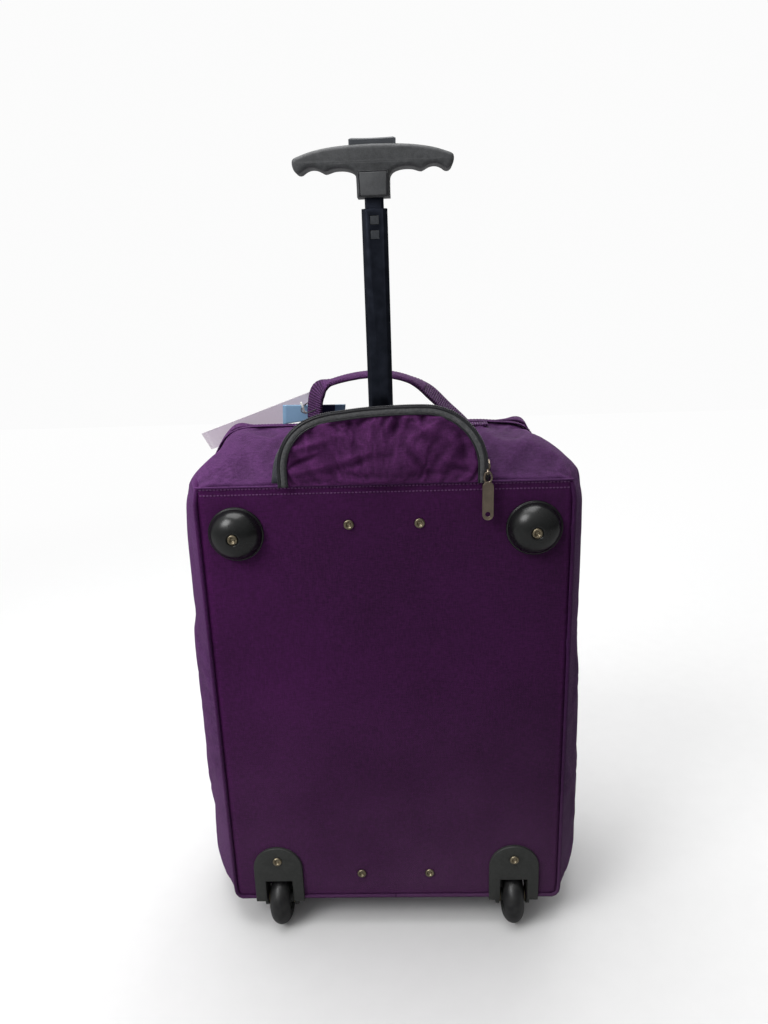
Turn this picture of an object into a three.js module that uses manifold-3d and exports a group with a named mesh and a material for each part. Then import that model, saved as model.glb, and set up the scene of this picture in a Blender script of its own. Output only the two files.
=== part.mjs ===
// A softside upright cabin case: a soft zipped body on a stiff back panel, two wheels, two stand feet,
// and a single telescoping pole with a T-grip that stows in a zipped pocket above the back panel.
//
// Units are millimetres, +Z is up and the wheels stand on z = 0. The model is drawn with y = 0 on the
// back panel's outer face and +y towards the front pockets; the group is then moved so that the frame's
// origin is the middle of the footprint.
import * as THREE from "three";
import { mergeVertices } from "three/addons/utils/BufferGeometryUtils.js";
import Module from "manifold-3d";

const wasm = await Module();
wasm.setup();

// ---------------------------------------------------------------- driving dimensions

const GAP = 0.4; // clearance between neighbouring pieces

// soft body
const BACK_HALF = 170; // half width of the back edge
const MID_HALF = 199; // half width at the main zip
const FRONT_HALF = 176;
const BOTTOM_Z = 37;
const SEAM_Z = 490; // top seam of the back panel
const CREST_Z = 528; // top of the body, at the main zip
const FRONT_TOP_Z = 470;
const ZIP_Y = 85;
const DEPTH = 170;
const WALL = 3; // foam-backed fabric
const RIM = 6; // distance from the zip's middle to each fabric edge
const TUB_Z = 110; // the main zip ends here and the lid folds here

// back panel
const PANEL_FABRIC = 1.2;
const BOARD_BACK = 1.5;
const BOARD_FRONT = 4;

// telescoping pole
const POLE_Y = 20;
const OUTER_TUBE = { wide: 26, deep: 18.4, wall: 1.5, cut: 3.5, z0: 58, z1: 461 };
const MIDDLE_TUBE = { wide: 21.5, deep: 14.5, wall: 1.2, cut: 3.4, z0: 405, z1: 720 };
const INNER_TUBE = { wide: 15.7, deep: 8.6, wall: 1, cut: 2, z0: 445, z1: 744 };
const WINDOW_HALF = { x: 3.9, z: 3.7 };
const WINDOW_Z = [711, 699.5];

// grip
const COLLAR_Z = 728.5; // bottom of the grip's collar
const GRIP_DEEP = 26;
const BUTTON_TOP = 43.8; // above the collar's bottom

// running gear
const WHEEL_X = 123.4;
const WHEEL_R = 28;
const WHEEL_Y = 10.4;
const WHEEL_WIDE = 24;
const AXLE_R = 3;
const HOUSING_HALF = 25.7;
const WELL_HALF = 14.3;
const WELL_WALL = 3.2;
const HOUSING_RIVET_Z = 84.7;

const DOME = { x: 135.8, z: 445, r: 25.7, high: 18 };
const BRACKET_RIVETS = { top: { x: 32.2, z: 452 }, bottom: { x: 35.7, z: 66.2 } };
const RIVET = { headR: 4.75, headHigh: 1.5, shankR: 2, tailR: 4.2, tailHigh: 1.2 };

// handle pocket
const LINER_HALF = 73;
const LINER_BACK = 4.8;
const LINER_FRONT = 44;
const LINER_FLOOR_Z = 468;
const LINER_WALL = 1.2;
const FLAP = { half: 90.5, top: 557, tape: 9, corner: 52, bottom: 491.5, y0: -5.5, y1: -2.5 };
const TAPE_ARCH = { half: 93, corner: 50, start: 3.5, top: 64, halfWide: 4 };

// front pockets
const LOWER_POCKET = { half: 142, z0: 128, z1: 330, corner: 26 };
const UPPER_POCKET = { half: 118, z0: 350, z1: 440, corner: 26 };
const POCKET_DEEP = 16;

// The footprint's middle: half way between the skid domes and the front pocket sliders.
const FOOTPRINT_MID_Y = 87;

// ---------------------------------------------------------------- solids and booleans

/** A closed BufferGeometry as a manifold-3d solid, with its faces turned outwards. */
function solid(geometry) {
  const bare = geometry.index ? geometry.toNonIndexed() : geometry.clone();
  for (const name of Object.keys(bare.attributes)) {
    if (name !== "position") bare.deleteAttribute(name);
  }
  const merged = mergeVertices(bare, 1e-4);
  const vertProperties = merged.attributes.position.array;
  const triVerts = new Uint32Array(merged.index.array);
  const made = new wasm.Manifold(new wasm.Mesh({ numProp: 3, vertProperties, triVerts }));
  if (made.volume() > 0) return made;
  const turned = triVerts.map((v, i) => triVerts[i % 3 === 1 ? i + 1 : i % 3 === 2 ? i - 1 : i]);
  return new wasm.Manifold(new wasm.Mesh({ numProp: 3, vertProperties, triVerts: turned }));
}

/** A manifold-3d solid as a BufferGeometry. */
function geometryOf(made) {
  const mesh = made.getMesh();
  const points = new Float32Array(mesh.numVert * 3);
  for (let i = 0; i < mesh.numVert; i++) {
    points.set(mesh.vertProperties.subarray(i * mesh.numProp, i * mesh.numProp + 3), i * 3);
  }
  const geometry = new THREE.BufferGeometry();
  geometry.setAttribute("position", new THREE.BufferAttribute(points, 3));
  geometry.setIndex(new THREE.BufferAttribute(mesh.triVerts, 1));
  geometry.computeVertexNormals();
  return geometry;
}

const join = (...parts) => parts.reduce((a, b) => a.add(b));
const cut = (body, ...tools) => tools.reduce((a, b) => a.subtract(b), body);

/** A box between two corners. */
function block(x0, x1, y0, y1, z0, z1) {
  const geometry = new THREE.BoxGeometry(x1 - x0, y1 - y0, z1 - z0);
  return solid(geometry.translate((x0 + x1) / 2, (y0 + y1) / 2, (z0 + z1) / 2));
}

/** A rectangle with rounded corners, as a shape. */
function roundedShape(x0, x1, z0, z1, corner) {
  const shape = new THREE.Shape();
  shape.moveTo(x0 + corner, z0);
  shape.lineTo(x1 - corner, z0);
  shape.quadraticCurveTo(x1, z0, x1, z0 + corner);
  shape.lineTo(x1, z1 - corner);
  shape.quadraticCurveTo(x1, z1, x1 - corner, z1);
  shape.lineTo(x0 + corner, z1);
  shape.quadraticCurveTo(x0, z1, x0, z1 - corner);
  shape.lineTo(x0, z0 + corner);
  shape.quadraticCurveTo(x0, z0, x0 + corner, z0);
  return shape;
}

/** A shape drawn in x and z, extruded from y0 to y1, with bevelled edges where bevel is above 0. */
function plate(shape, y0, y1, bevel = 0, curveSegments = 10) {
  const geometry = new THREE.ExtrudeGeometry(shape, {
    depth: y1 - y0 - 2 * bevel,
    bevelEnabled: bevel > 0,
    bevelThickness: bevel,
    bevelSize: bevel,
    bevelOffset: -bevel,
    bevelSegments: 2,
    curveSegments,
  });
  return solid(geometry.rotateX(Math.PI / 2).translate(0, y1 - bevel, 0));
}

/** A profile of [radius, y] pairs turned round the y axis, then moved to (x, 0, z). */
function turnedY(profile, x, z, segments = 32) {
  const points = [...profile, profile[0]].map(([r, y]) => new THREE.Vector2(r, y));
  return solid(new THREE.LatheGeometry(points, segments).translate(x, 0, z));
}

/** A profile of [radius, x] pairs turned round a line along x through (x, y, z). */
function turnedX(profile, x, y, z, segments = 30) {
  const points = [...profile, profile[0]].map(([r, along]) => new THREE.Vector2(r, along));
  const geometry = new THREE.LatheGeometry(points, segments).rotateZ(-Math.PI / 2);
  return solid(geometry.translate(x, y, z));
}

/** A plain cylinder along "x", "y" or "z". */
function rod(axis, radius, from, to, a, b, segments = 20) {
  const geometry = new THREE.CylinderGeometry(radius, radius, to - from, segments);
  const middle = (from + to) / 2;
  if (axis === "x") return solid(geometry.rotateZ(Math.PI / 2).translate(middle, a, b));
  if (axis === "y") return solid(geometry.translate(a, middle, b));
  return solid(geometry.rotateX(Math.PI / 2).translate(a, b, middle));
}

/** A solid through a list of rings with equal point counts. A closed loft joins its last ring to its first. */
function loft(rings, closed = false) {
  const count = rings[0].length;
  const points = rings.flat();
  const index = [];
  const last = closed ? rings.length : rings.length - 1;
  for (let r = 0; r < last; r++) {
    const here = r * count;
    const next = ((r + 1) % rings.length) * count;
    for (let i = 0; i < count; i++) {
      const j = (i + 1) % count;
      index.push(here + i, next + i, next + j, here + i, next + j, here + j);
    }
  }
  if (!closed) {
    for (const [ring, first] of [[rings[0], 0], [rings.at(-1), (rings.length - 1) * count]]) {
      const centre = ring.reduce((a, p) => a.add(p), new THREE.Vector3()).divideScalar(count);
      points.push(centre);
      const hub = points.length - 1;
      for (let i = 0; i < count; i++) {
        const j = (i + 1) % count;
        index.push(...(first === 0 ? [hub, first + i, first + j] : [hub, first + j, first + i]));
      }
    }
  }
  return solid(new THREE.BufferGeometry().setFromPoints(points).setIndex(index));
}

// ---------------------------------------------------------------- soft body surface

/** How far a soft surface has risen, 0 to 1, at a share u of the way from the stiff edge to the zip. */
const rise = (u) => 1 - (1 - THREE.MathUtils.clamp(u, 0, 1)) ** 2.5;

/** The body's cross-section at depth y: a rectangle with rounded corners. */
function section(y, inset) {
  const back = rise(y / ZIP_Y);
  const front = Math.max(0, (y - ZIP_Y) / (DEPTH - ZIP_Y));
  return {
    y,
    half: BACK_HALF + (MID_HALF - BACK_HALF) * back - (MID_HALF - FRONT_HALF) * front ** 2.5 - inset,
    bottom: BOTTOM_Z + inset,
    top: SEAM_Z + (CREST_Z - SEAM_Z) * back - (CREST_Z - FRONT_TOP_Z) * front ** 1.3 - inset,
    topCorner: 12 + 66 * back - 33 * front - inset,
    bottomCorner: Math.max(4, 14 + 16 * back - inset),
  };
}

const CORNER_STEPS = { top: 7, bottom: 4 };

/** The cross-section's outline as a ring of points. */
function outline(y, inset = 0) {
  const s = section(y, inset);
  const ring = [];
  const add = (x, z) => ring.push(new THREE.Vector3(x, y, z));
  const corner = (x, z, radius, startDegrees, steps) => {
    for (let i = 0; i <= steps; i++) {
      const a = THREE.MathUtils.degToRad(startDegrees + (90 * i) / steps);
      add(x + radius * Math.cos(a), z + radius * Math.sin(a));
    }
  };
  const side = (sign) => {
    const low = s.bottom + s.bottomCorner;
    const high = s.top - s.topCorner;
    for (let i = 1; i < 4; i++) {
      const share = sign > 0 ? i / 4 : 1 - i / 4;
      add(sign * s.half, low + (high - low) * share);
    }
  };
  corner(s.half - s.bottomCorner, s.bottom + s.bottomCorner, s.bottomCorner, -90, CORNER_STEPS.bottom);
  side(1);
  corner(s.half - s.topCorner, s.top - s.topCorner, s.topCorner, 0, CORNER_STEPS.top);
  corner(-s.half + s.topCorner, s.top - s.topCorner, s.topCorner, 90, CORNER_STEPS.top);
  side(-1);
  corner(-s.half + s.bottomCorner, s.bottom + s.bottomCorner, s.bottomCorner, 180, CORNER_STEPS.bottom);
  return ring;
}

/** The height of the top surface at depth y, away from the corners. */
const topZ = (y) => section(y, 0).top;

const DEPTH_STEPS = [8, 17, 30, 46, 64, ZIP_Y, 105, 125, 145, 160];
const FRONT_ROUND = 6;

const bodyOutside = loft([
  outline(0.6),
  ...DEPTH_STEPS.map((y) => outline(y)),
  outline(DEPTH - FRONT_ROUND / 3),
  outline(DEPTH, FRONT_ROUND),
]);
const bodyInside = loft([
  outline(-1, WALL),
  ...DEPTH_STEPS.map((y) => outline(y, WALL)),
  outline(DEPTH - WALL, WALL + FRONT_ROUND / 2),
]);
const bodySkin = bodyOutside.subtract(bodyInside);

const FAR = 400; // reaches past the body in every direction

// ---------------------------------------------------------------- soft goods

function bagBase() {
  const lidSpace = block(-FAR, FAR, ZIP_Y - RIM, FAR, TUB_Z - 0.3, 2 * FAR);
  const linerHole = block(
    -LINER_HALF - GAP, LINER_HALF + GAP, LINER_BACK - GAP, LINER_FRONT + GAP, SEAM_Z - 10, 2 * FAR,
  );
  return cut(bodySkin, lidSpace, linerHole, ...wellSpaces());
}

function lidShell() {
  return bodySkin.intersect(block(-FAR, FAR, ZIP_Y + RIM, FAR, TUB_Z + 0.3, 2 * FAR));
}

/** The room that the two wheel wells need inside the body. */
function wellSpaces() {
  const half = WELL_HALF + WELL_WALL + GAP;
  return [-WHEEL_X, WHEEL_X].map((x) => block(x - half, x + half, -5, 48 + GAP, 0, 62 + GAP));
}

/** A flat sheet inside the body's back edge, with the rivets' holes and the wheel wells cut out. */
function backSheet(inset, y0, y1) {
  const half = BACK_HALF - WALL - inset;
  const low = BOTTOM_Z + WALL + inset;
  const high = SEAM_Z - WALL - inset;
  const shape = roundedShape(-half, half, low, high, 14);
  const holes = rivetPlaces().map(({ x, z }) => rod("y", RIVET.shankR + GAP, -1, 9, x, z, 12));
  return cut(plate(shape, y0, y1, 0, 4), ...holes, ...wellSpaces());
}

/** One half of the main zip: a tape with a bead of teeth along its inner edge. sign is -1 for the back half. */
function mainZipHalf(sign) {
  const tooth = 0.3;
  const bead = 2.6;
  const far = RIM - 0.3;
  const profile = [[far, 2], [tooth, 2], [tooth, -1], [bead, -1], [bead, 0.8], [far, 0.8]];
  const rings = profile.map(([offset, inset]) => outline(ZIP_Y + sign * offset, inset));
  return cut(loft(rings, true), block(-FAR, FAR, -FAR, FAR, -FAR, TUB_Z + 2));
}

/** The covered cord along one side of the back panel and round its lower corner. */
function backPiping(sign) {
  const radius = 2;
  const round = 14;
  const sides = 8;
  const x = BACK_HALF + 0.4;
  const stops = [{ x, z: SEAM_Z + 8, turn: 0 }];
  for (let i = 0; i <= 4; i++) {
    const turn = (i / 4) * (Math.PI / 2);
    stops.push({ x: x - round * (1 - Math.cos(turn)), z: BOTTOM_Z + round * (1 - Math.sin(turn)), turn });
  }
  const rings = stops.map(({ x: atX, z: atZ, turn }) =>
    Array.from({ length: sides }, (_, i) => {
      const a = (2 * Math.PI * i) / sides;
      const out = radius * Math.cos(a);
      const y = -radius + 0.2 + radius * Math.sin(a);
      return new THREE.Vector3(sign * (atX + out * Math.cos(turn)), y, atZ - out * Math.sin(turn));
    }),
  );
  return loft(rings);
}

/** The arch of the handle pocket's flap, as a shape in x and z. */
function flapArch(inset) {
  const half = FLAP.half - inset;
  const top = FLAP.top - inset;
  const corner = FLAP.corner - inset;
  const shape = new THREE.Shape();
  shape.moveTo(-half, FLAP.bottom);
  shape.lineTo(half, FLAP.bottom);
  shape.lineTo(half, top - corner);
  shape.quadraticCurveTo(half - 4, top - 6, half - corner, top - 2);
  shape.quadraticCurveTo(0, top + 2, -half + corner, top - 2);
  shape.quadraticCurveTo(-half + 4, top - 6, -half, top - corner);
  return shape;
}

function handleFlap() {
  return plate(flapArch(FLAP.tape + GAP), FLAP.y0, FLAP.y1, 0, 8);
}

/** The zip tape sewn round the flap's edge. */
function flapZipTape() {
  const outer = plate(flapArch(0), FLAP.y0 + 0.5, FLAP.y1 - 0.5, 0, 8);
  const inside = plate(flapArch(FLAP.tape), FLAP.y0, FLAP.y1, 0, 8);
  const foot = block(-FAR, FAR, -FAR, FAR, 0, FLAP.bottom + 0.2);
  const below = block(
    -FLAP.half + FLAP.tape, FLAP.half - FLAP.tape, -FAR, FAR, 0, FLAP.bottom + 5,
  );
  return cut(outer, inside, foot, below);
}

/** The other half of the pocket's zip: a strip that lies on the body in an arch round the pocket's mouth. */
function pocketZipTape() {
  const { half, corner, start, top, halfWide } = TAPE_ARCH;
  const path = new THREE.CurvePath();
  path.add(new THREE.LineCurve(new THREE.Vector2(half, start), new THREE.Vector2(half, top - corner)));
  path.add(new THREE.EllipseCurve(half - corner, top - corner, corner, corner, 0, Math.PI / 2));
  path.add(
    new THREE.LineCurve(new THREE.Vector2(half - corner, top), new THREE.Vector2(corner - half, top)),
  );
  path.add(new THREE.EllipseCurve(corner - half, top - corner, corner, corner, Math.PI / 2, Math.PI));
  path.add(new THREE.LineCurve(new THREE.Vector2(-half, top - corner), new THREE.Vector2(-half, start)));
  const steps = 36;
  const rings = [];
  for (let i = 0; i <= steps; i++) {
    const p = path.getPointAt(i / steps);
    const t = path.getTangentAt(i / steps);
    const edge = (side, lift) => {
      const y = p.y - t.x * side * halfWide;
      return new THREE.Vector3(p.x + t.y * side * halfWide, y, topZ(y) + lift);
    };
    rings.push([edge(1, 0.8), edge(1, 2), edge(-1, 2), edge(-1, 0.8)]);
  }
  return loft(rings);
}

/** The fabric well that the stowed grip sits in. */
function pocketLiner() {
  const box = block(-LINER_HALF, LINER_HALF, LINER_BACK, LINER_FRONT, LINER_FLOOR_Z, 2 * FAR);
  const room = block(
    -LINER_HALF + LINER_WALL, LINER_HALF - LINER_WALL,
    LINER_BACK + LINER_WALL, LINER_FRONT - LINER_WALL,
    LINER_FLOOR_Z + LINER_WALL, 2 * FAR,
  );
  const neck = block(-15.9, 15.9, POLE_Y - 10.2, POLE_Y + 10.2, 0, LINER_FLOOR_Z + 5);
  return cut(box, room, neck).intersect(bodyOutside);
}

/** The lining sheet that hides the pole from the main compartment. */
function innerLining() {
  return block(-165, 165, 33, 34, 66, 458);
}

/** A soft pocket on the lid's front. */
function frontPocket({ half, z0, z1, corner }) {
  return plate(roundedShape(-half, half, z0, z1, corner), DEPTH + GAP, DEPTH + POCKET_DEEP, 5, 4);
}

// ---------------------------------------------------------------- carry handle

const STRAP = { y: 72, legWide: 14, legDeep: 4, barDeep: 24, barHigh: 3, left: -69, right: 72, z: 529.2, top: 572 };

/** A straight strip of webbing in the xz plane between two points. */
function strapLeg(x0, z0, x1, z1) {
  const half = STRAP.legWide / 2;
  const shape = new THREE.Shape();
  shape.moveTo(x0 - half, z0);
  shape.lineTo(x0 + half, z0);
  shape.lineTo(x1 + half, z1);
  shape.lineTo(x1 - half, z1);
  return plate(shape, STRAP.y - STRAP.legDeep / 2, STRAP.y + STRAP.legDeep / 2);
}

const STRAP_BAR = { x0: -72, x1: 46 };

function strapBar(grow) {
  const half = STRAP.barHigh / 2 + grow;
  return block(
    STRAP_BAR.x0, STRAP_BAR.x1,
    STRAP.y - STRAP.barDeep / 2 + 1 - grow, STRAP.y + STRAP.barDeep / 2 - 1 + grow,
    STRAP.top - half, STRAP.top + half,
  );
}

function carryStrap() {
  return join(
    strapLeg(STRAP.left, STRAP.z, -65, STRAP.top),
    strapLeg(STRAP.right, STRAP.z, 39, STRAP.top),
    strapBar(0),
  );
}

/** The padded sleeve round the middle of the strap. */
function carryWrap() {
  const sleeve = plate(
    new THREE.Shape()
      .moveTo(-52, STRAP.top - 5).lineTo(26, STRAP.top - 5).lineTo(29, STRAP.top)
      .lineTo(26, STRAP.top + 5).lineTo(-52, STRAP.top + 5).lineTo(-55, STRAP.top),
    STRAP.y - STRAP.barDeep / 2 - 2, STRAP.y + STRAP.barDeep / 2 + 2, 2,
  );
  return cut(sleeve, strapBar(GAP));
}

// ---------------------------------------------------------------- hang tags

const TAG_LOOP = { x0: -79, x1: -58, y0: 67.5, y1: 82, z: 545, thick: 1.2 };
const TAG_CARD = [[-180.5, 522], [-178, 511], [-150, 532], [-60, 537], [-60, 549], [-69, 560]];
const TAG_BOOKLET = [[-96, 538], [-42, 538], [-42, 550.5], [-96, 551.5]];

/** The closed loop that ties both tags to the strap's left leg. */
function tagLoop(grow) {
  const { x0, x1, y0, y1, z, thick } = TAG_LOOP;
  const ring = block(x0 - grow, x1 + grow, y0 - grow, y1 + grow, z - grow, z + thick + grow);
  const room = block(
    x0 + thick + grow, x1 - thick - grow, y0 + thick + grow, y1 - thick - grow, z - 9, z + 9,
  );
  return cut(ring, room);
}

/** A flat tag through a list of [x, z] corners, with slots for the loop. */
function tag(corners, y0, y1) {
  const shape = new THREE.Shape(corners.map(([x, z]) => new THREE.Vector2(x, z)));
  return cut(plate(shape, y0, y1), tagLoop(GAP));
}

// ---------------------------------------------------------------- zip sliders and pulls

/** A slider for the main zip, astride its teeth, with an eye for its pull. */
function mainZipSlider(x) {
  const base = CREST_Z + 1.4;
  const body = block(x - 6, x + 6, ZIP_Y - 4.5, ZIP_Y + 4.5, base - 1.6, base + 2.6);
  const channel = block(x - 7, x + 7, ZIP_Y - 3.1, ZIP_Y + 3.1, base - 3, base);
  const bridge = block(x - 3.5, x + 3.5, ZIP_Y - 1.2, ZIP_Y + 1.2, base + 2.5, base + 6.4);
  const eye = rod("y", 1.6, ZIP_Y - 3, ZIP_Y + 3, x, base + 4.3, 12);
  return cut(join(body, bridge), channel, eye);
}

const MAIN_SLIDER_X = 16;
const MAIN_PULL_Z = CREST_Z + 1.4 + 4.3;

/** A pull that lies along the zip, hinged on a cross pin through the slider's eye. */
function mainZipPull(x, sign) {
  const pin = rod("y", 1.1, ZIP_Y - 3.6, ZIP_Y + 3.6, x, MAIN_PULL_Z, 12);
  const cheek = (side) =>
    block(
      Math.min(x, x + sign * 9), Math.max(x, x + sign * 9),
      ZIP_Y + side * 2.6 - 0.9, ZIP_Y + side * 2.6 + 0.9,
      MAIN_PULL_Z - 0.8, MAIN_PULL_Z + 0.8,
    );
  const tab = block(
    Math.min(x + sign * 8, x + sign * 24), Math.max(x + sign * 8, x + sign * 24),
    ZIP_Y - 3.5, ZIP_Y + 3.5, MAIN_PULL_Z - 0.8, MAIN_PULL_Z + 0.8,
  );
  return join(pin, cheek(-1), cheek(1), tab);
}

const POCKET_SLIDER = { x: 93, y: 4.1, z: 501.6, tilt: Math.PI / 4 };
const POCKET_PULL = { x: 96.5, y: -6.8, eyeZ: 499, tabTop: 487, tabBottom: 456, half: 4.8 };

/** The slider at the lower right end of the handle pocket's zip. */
function pocketZipSlider() {
  const body = new THREE.BoxGeometry(8.6, 12, 4.2);
  body.rotateX(POCKET_SLIDER.tilt).translate(POCKET_SLIDER.x, POCKET_SLIDER.y, POCKET_SLIDER.z);
  const nose = block(POCKET_PULL.x - 1.2, POCKET_PULL.x + 1.2, -9.4, 4, 496.6, 501.4);
  const eye = rod("x", 1.6, POCKET_PULL.x - 3, POCKET_PULL.x + 3, POCKET_PULL.y, POCKET_PULL.eyeZ, 12);
  return cut(join(solid(body), nose), eye);
}

/** The pocket's pull: a punched metal tab on a link, hanging in front of the back panel. */
function pocketZipPull() {
  const { x, y, eyeZ, tabTop, tabBottom, half } = POCKET_PULL;
  const tab = new THREE.Shape();
  tab.absarc(x, tabBottom + half, half, Math.PI, 2 * Math.PI);
  tab.lineTo(x + half, tabTop - 2);
  tab.lineTo(x + half - 2, tabTop);
  tab.lineTo(x - half + 2, tabTop);
  tab.lineTo(x - half, tabTop - 2);
  const pin = rod("x", 1.1, x - 3.4, x + 3.4, y, eyeZ, 12);
  const arm = (side) => block(x + side * 2.6 - 0.9, x + side * 2.6 + 0.9, y - 0.8, y + 0.8, tabTop - 1, eyeZ);
  const hole = rod("y", 2.3, y - 3, y + 3, x, tabBottom + half + 0.6, 14);
  return cut(join(plate(tab, y - 0.8, y + 0.8, 0, 8), pin, arm(-1), arm(1)), hole);
}

/** A front pocket's slider with its pull tab, lying against the pocket. */
function frontPocketSlider(x, z) {
  const face = DEPTH + POCKET_DEEP;
  const body = block(x - 5, x + 5, face + 0.4, face + 4, z - 4.5, z + 4.5);
  const tab = block(x - 3, x + 3, face + 4, face + 6, z - 30, z + 1);
  return join(body, tab);
}

// ---------------------------------------------------------------- telescoping pole

/** A tube with cut corners, as a shape in x and y round the pole's axis. */
function tubeShape(wide, deep, corner) {
  const w = wide / 2;
  const d = deep / 2;
  const shape = new THREE.Shape();
  shape.moveTo(-w + corner, -d);
  shape.lineTo(w - corner, -d);
  shape.lineTo(w, -d + corner);
  shape.lineTo(w, d - corner);
  shape.lineTo(w - corner, d);
  shape.lineTo(-w + corner, d);
  shape.lineTo(-w, d - corner);
  shape.lineTo(-w, -d + corner);
  return shape;
}

function tubeSolid(wide, deep, corner, z0, z1) {
  const geometry = new THREE.ExtrudeGeometry(tubeShape(wide, deep, corner), {
    depth: z1 - z0,
    bevelEnabled: false,
  });
  return solid(geometry.translate(0, POLE_Y, z0));
}

function tube({ wide, deep, wall, cut: corner, z0, z1 }) {
  const room = tubeSolid(wide - 2 * wall, deep - 2 * wall, corner - wall * 0.58, z0 - 1, z1 + 1);
  return cut(tubeSolid(wide, deep, corner, z0, z1), room);
}

function middleTube() {
  const { x, z } = WINDOW_HALF;
  const windows = WINDOW_Z.map((at) => block(-x, x, POLE_Y - 9, POLE_Y - 5, at - z, at + z));
  return cut(tube(MIDDLE_TUBE), ...windows);
}

/** The leaf spring inside the middle tube, whose two buttons fill the windows. */
function lockLeaf() {
  const inside = POLE_Y - MIDDLE_TUBE.deep / 2 + MIDDLE_TUBE.wall;
  const leaf = block(-5.5, 5.5, inside + 0.35, inside + 0.9, WINDOW_Z[1] - 9, WINDOW_Z[0] + 6);
  const buttons = WINDOW_Z.map((at) =>
    block(
      -WINDOW_HALF.x + GAP, WINDOW_HALF.x - GAP,
      inside - MIDDLE_TUBE.wall - 0.3, inside + 0.5,
      at - WINDOW_HALF.z + GAP, at + WINDOW_HALF.z - GAP,
    ),
  );
  return join(leaf, ...buttons);
}

/** The moulded guide at the pocket's floor that the middle tube runs in. */
function poleBezel() {
  const flange = block(-20, 20, POLE_Y - 11.5, POLE_Y + 11.5, LINER_FLOOR_Z + 1.9, LINER_FLOOR_Z + 5.4);
  const neck = block(-15.5, 15.5, POLE_Y - 9.8, POLE_Y + 9.8, OUTER_TUBE.z1 + GAP, LINER_FLOOR_Z + 2);
  const bore = block(-11.2, 11.2, POLE_Y - 7.7, POLE_Y + 7.7, 0, 2 * FAR);
  return cut(join(flange, neck), bore);
}

/** A riveted bracket that clamps the outer tube to the board. */
function poleBracket(rivets, halfWide, z0, z1, floorZ) {
  const back = BOARD_FRONT + 0.3;
  const foot = block(-halfWide, halfWide, back, back + 2.5, z0, z1);
  const front = POLE_Y + OUTER_TUBE.deep / 2 + 3;
  const clamp = block(-16.2, 16.2, back, front, z0, z1);
  const room = tubeSolid(
    OUTER_TUBE.wide + 0.8, OUTER_TUBE.deep + 0.8, OUTER_TUBE.cut, floorZ, z1 + 1,
  );
  const holes = [-rivets.x, rivets.x].map((x) => rod("y", RIVET.shankR + GAP, 0, 9, x, rivets.z, 12));
  return cut(join(foot, clamp), room, ...holes);
}

// ---------------------------------------------------------------- grip

/** The T-grip's outline in x and z: a collar that flares into a bow with two finger grooves each side. */
function gripShape() {
  const z = (up) => COLLAR_Z + up;
  const shape = new THREE.Shape();
  const half = (s) => [
    [13.6 * s, z(15)],
    [17, 20.5, 26, 21.8],
    [33.5, 22.8, 39.7, 19.8],
    [45, 23.6, 51, 22.8],
    [55.5, 22.2, 58, 19.6],
    [64.5, 17.5, 65.6, 25],
    [66, 30.2, 60.5, 32],
    [40, 38.2, 0, 39.8],
  ];
  shape.moveTo(-13.6, z(0));
  shape.lineTo(13.6, z(0));
  const [start, ...curves] = half(1);
  shape.lineTo(...start);
  for (const [cx, cu, x, up] of curves) shape.quadraticCurveTo(cx, z(cu), x, z(up));
  for (let i = curves.length - 1; i >= 0; i--) {
    const [cx, cu] = curves[i];
    const [x, up] = i > 0 ? curves[i - 1].slice(2) : [13.6, 15];
    shape.quadraticCurveTo(-cx, z(cu), -x, z(up));
  }
  return shape;
}

const BUTTON = { half: 19, halfDeep: 7.5, bottom: 30 };

function gripShell(front) {
  const y0 = POLE_Y - GRIP_DEEP / 2;
  const y1 = POLE_Y + GRIP_DEEP / 2;
  const bow = plate(gripShape(), y0, y1, 3, 3);
  const socket = tubeSolid(
    INNER_TUBE.wide + 2 * GAP, INNER_TUBE.deep + 2 * GAP, INNER_TUBE.cut, COLLAR_Z - 1, INNER_TUBE.z1 + GAP,
  );
  const slot = block(
    -BUTTON.half - GAP, BUTTON.half + GAP,
    POLE_Y - BUTTON.halfDeep - GAP, POLE_Y + BUTTON.halfDeep + GAP,
    COLLAR_Z + BUTTON.bottom - 5, COLLAR_Z + 60,
  );
  const channel = rod("z", 2.2, COLLAR_Z, COLLAR_Z + 40, 0, POLE_Y, 10);
  const inlays = [block(-10, 10, y0 - 1, y0 + 0.8, COLLAR_Z + 1.8, COLLAR_Z + 18.6),
    block(-10, 10, y1 - 0.8, y1 + 1, COLLAR_Z + 1.8, COLLAR_Z + 18.6)];
  const half = front
    ? block(-FAR, FAR, POLE_Y + 0.15, FAR, 0, 3 * FAR)
    : block(-FAR, FAR, -FAR, POLE_Y - 0.15, 0, 3 * FAR);
  return cut(bow, socket, slot, channel, ...inlays).intersect(half);
}

/** The release button with the push rod that runs down inside the inner tube. */
function releaseButton() {
  const shape = new THREE.Shape();
  const top = COLLAR_Z + BUTTON_TOP;
  shape.moveTo(-BUTTON.half, COLLAR_Z + BUTTON.bottom);
  shape.lineTo(BUTTON.half, COLLAR_Z + BUTTON.bottom);
  shape.lineTo(BUTTON.half, top - 2);
  shape.quadraticCurveTo(BUTTON.half, top, BUTTON.half - 2.5, top);
  shape.lineTo(-BUTTON.half + 2.5, top);
  shape.quadraticCurveTo(-BUTTON.half, top, -BUTTON.half, top - 2);
  const cap = plate(shape, POLE_Y - BUTTON.halfDeep, POLE_Y + BUTTON.halfDeep, 0, 4);
  const push = rod("z", 1.6, INNER_TUBE.z0 + 6, COLLAR_Z + BUTTON.bottom + 1, 0, POLE_Y, 10);
  return join(cap, push);
}

// ---------------------------------------------------------------- rivets, domes, feet and wheels

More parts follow.
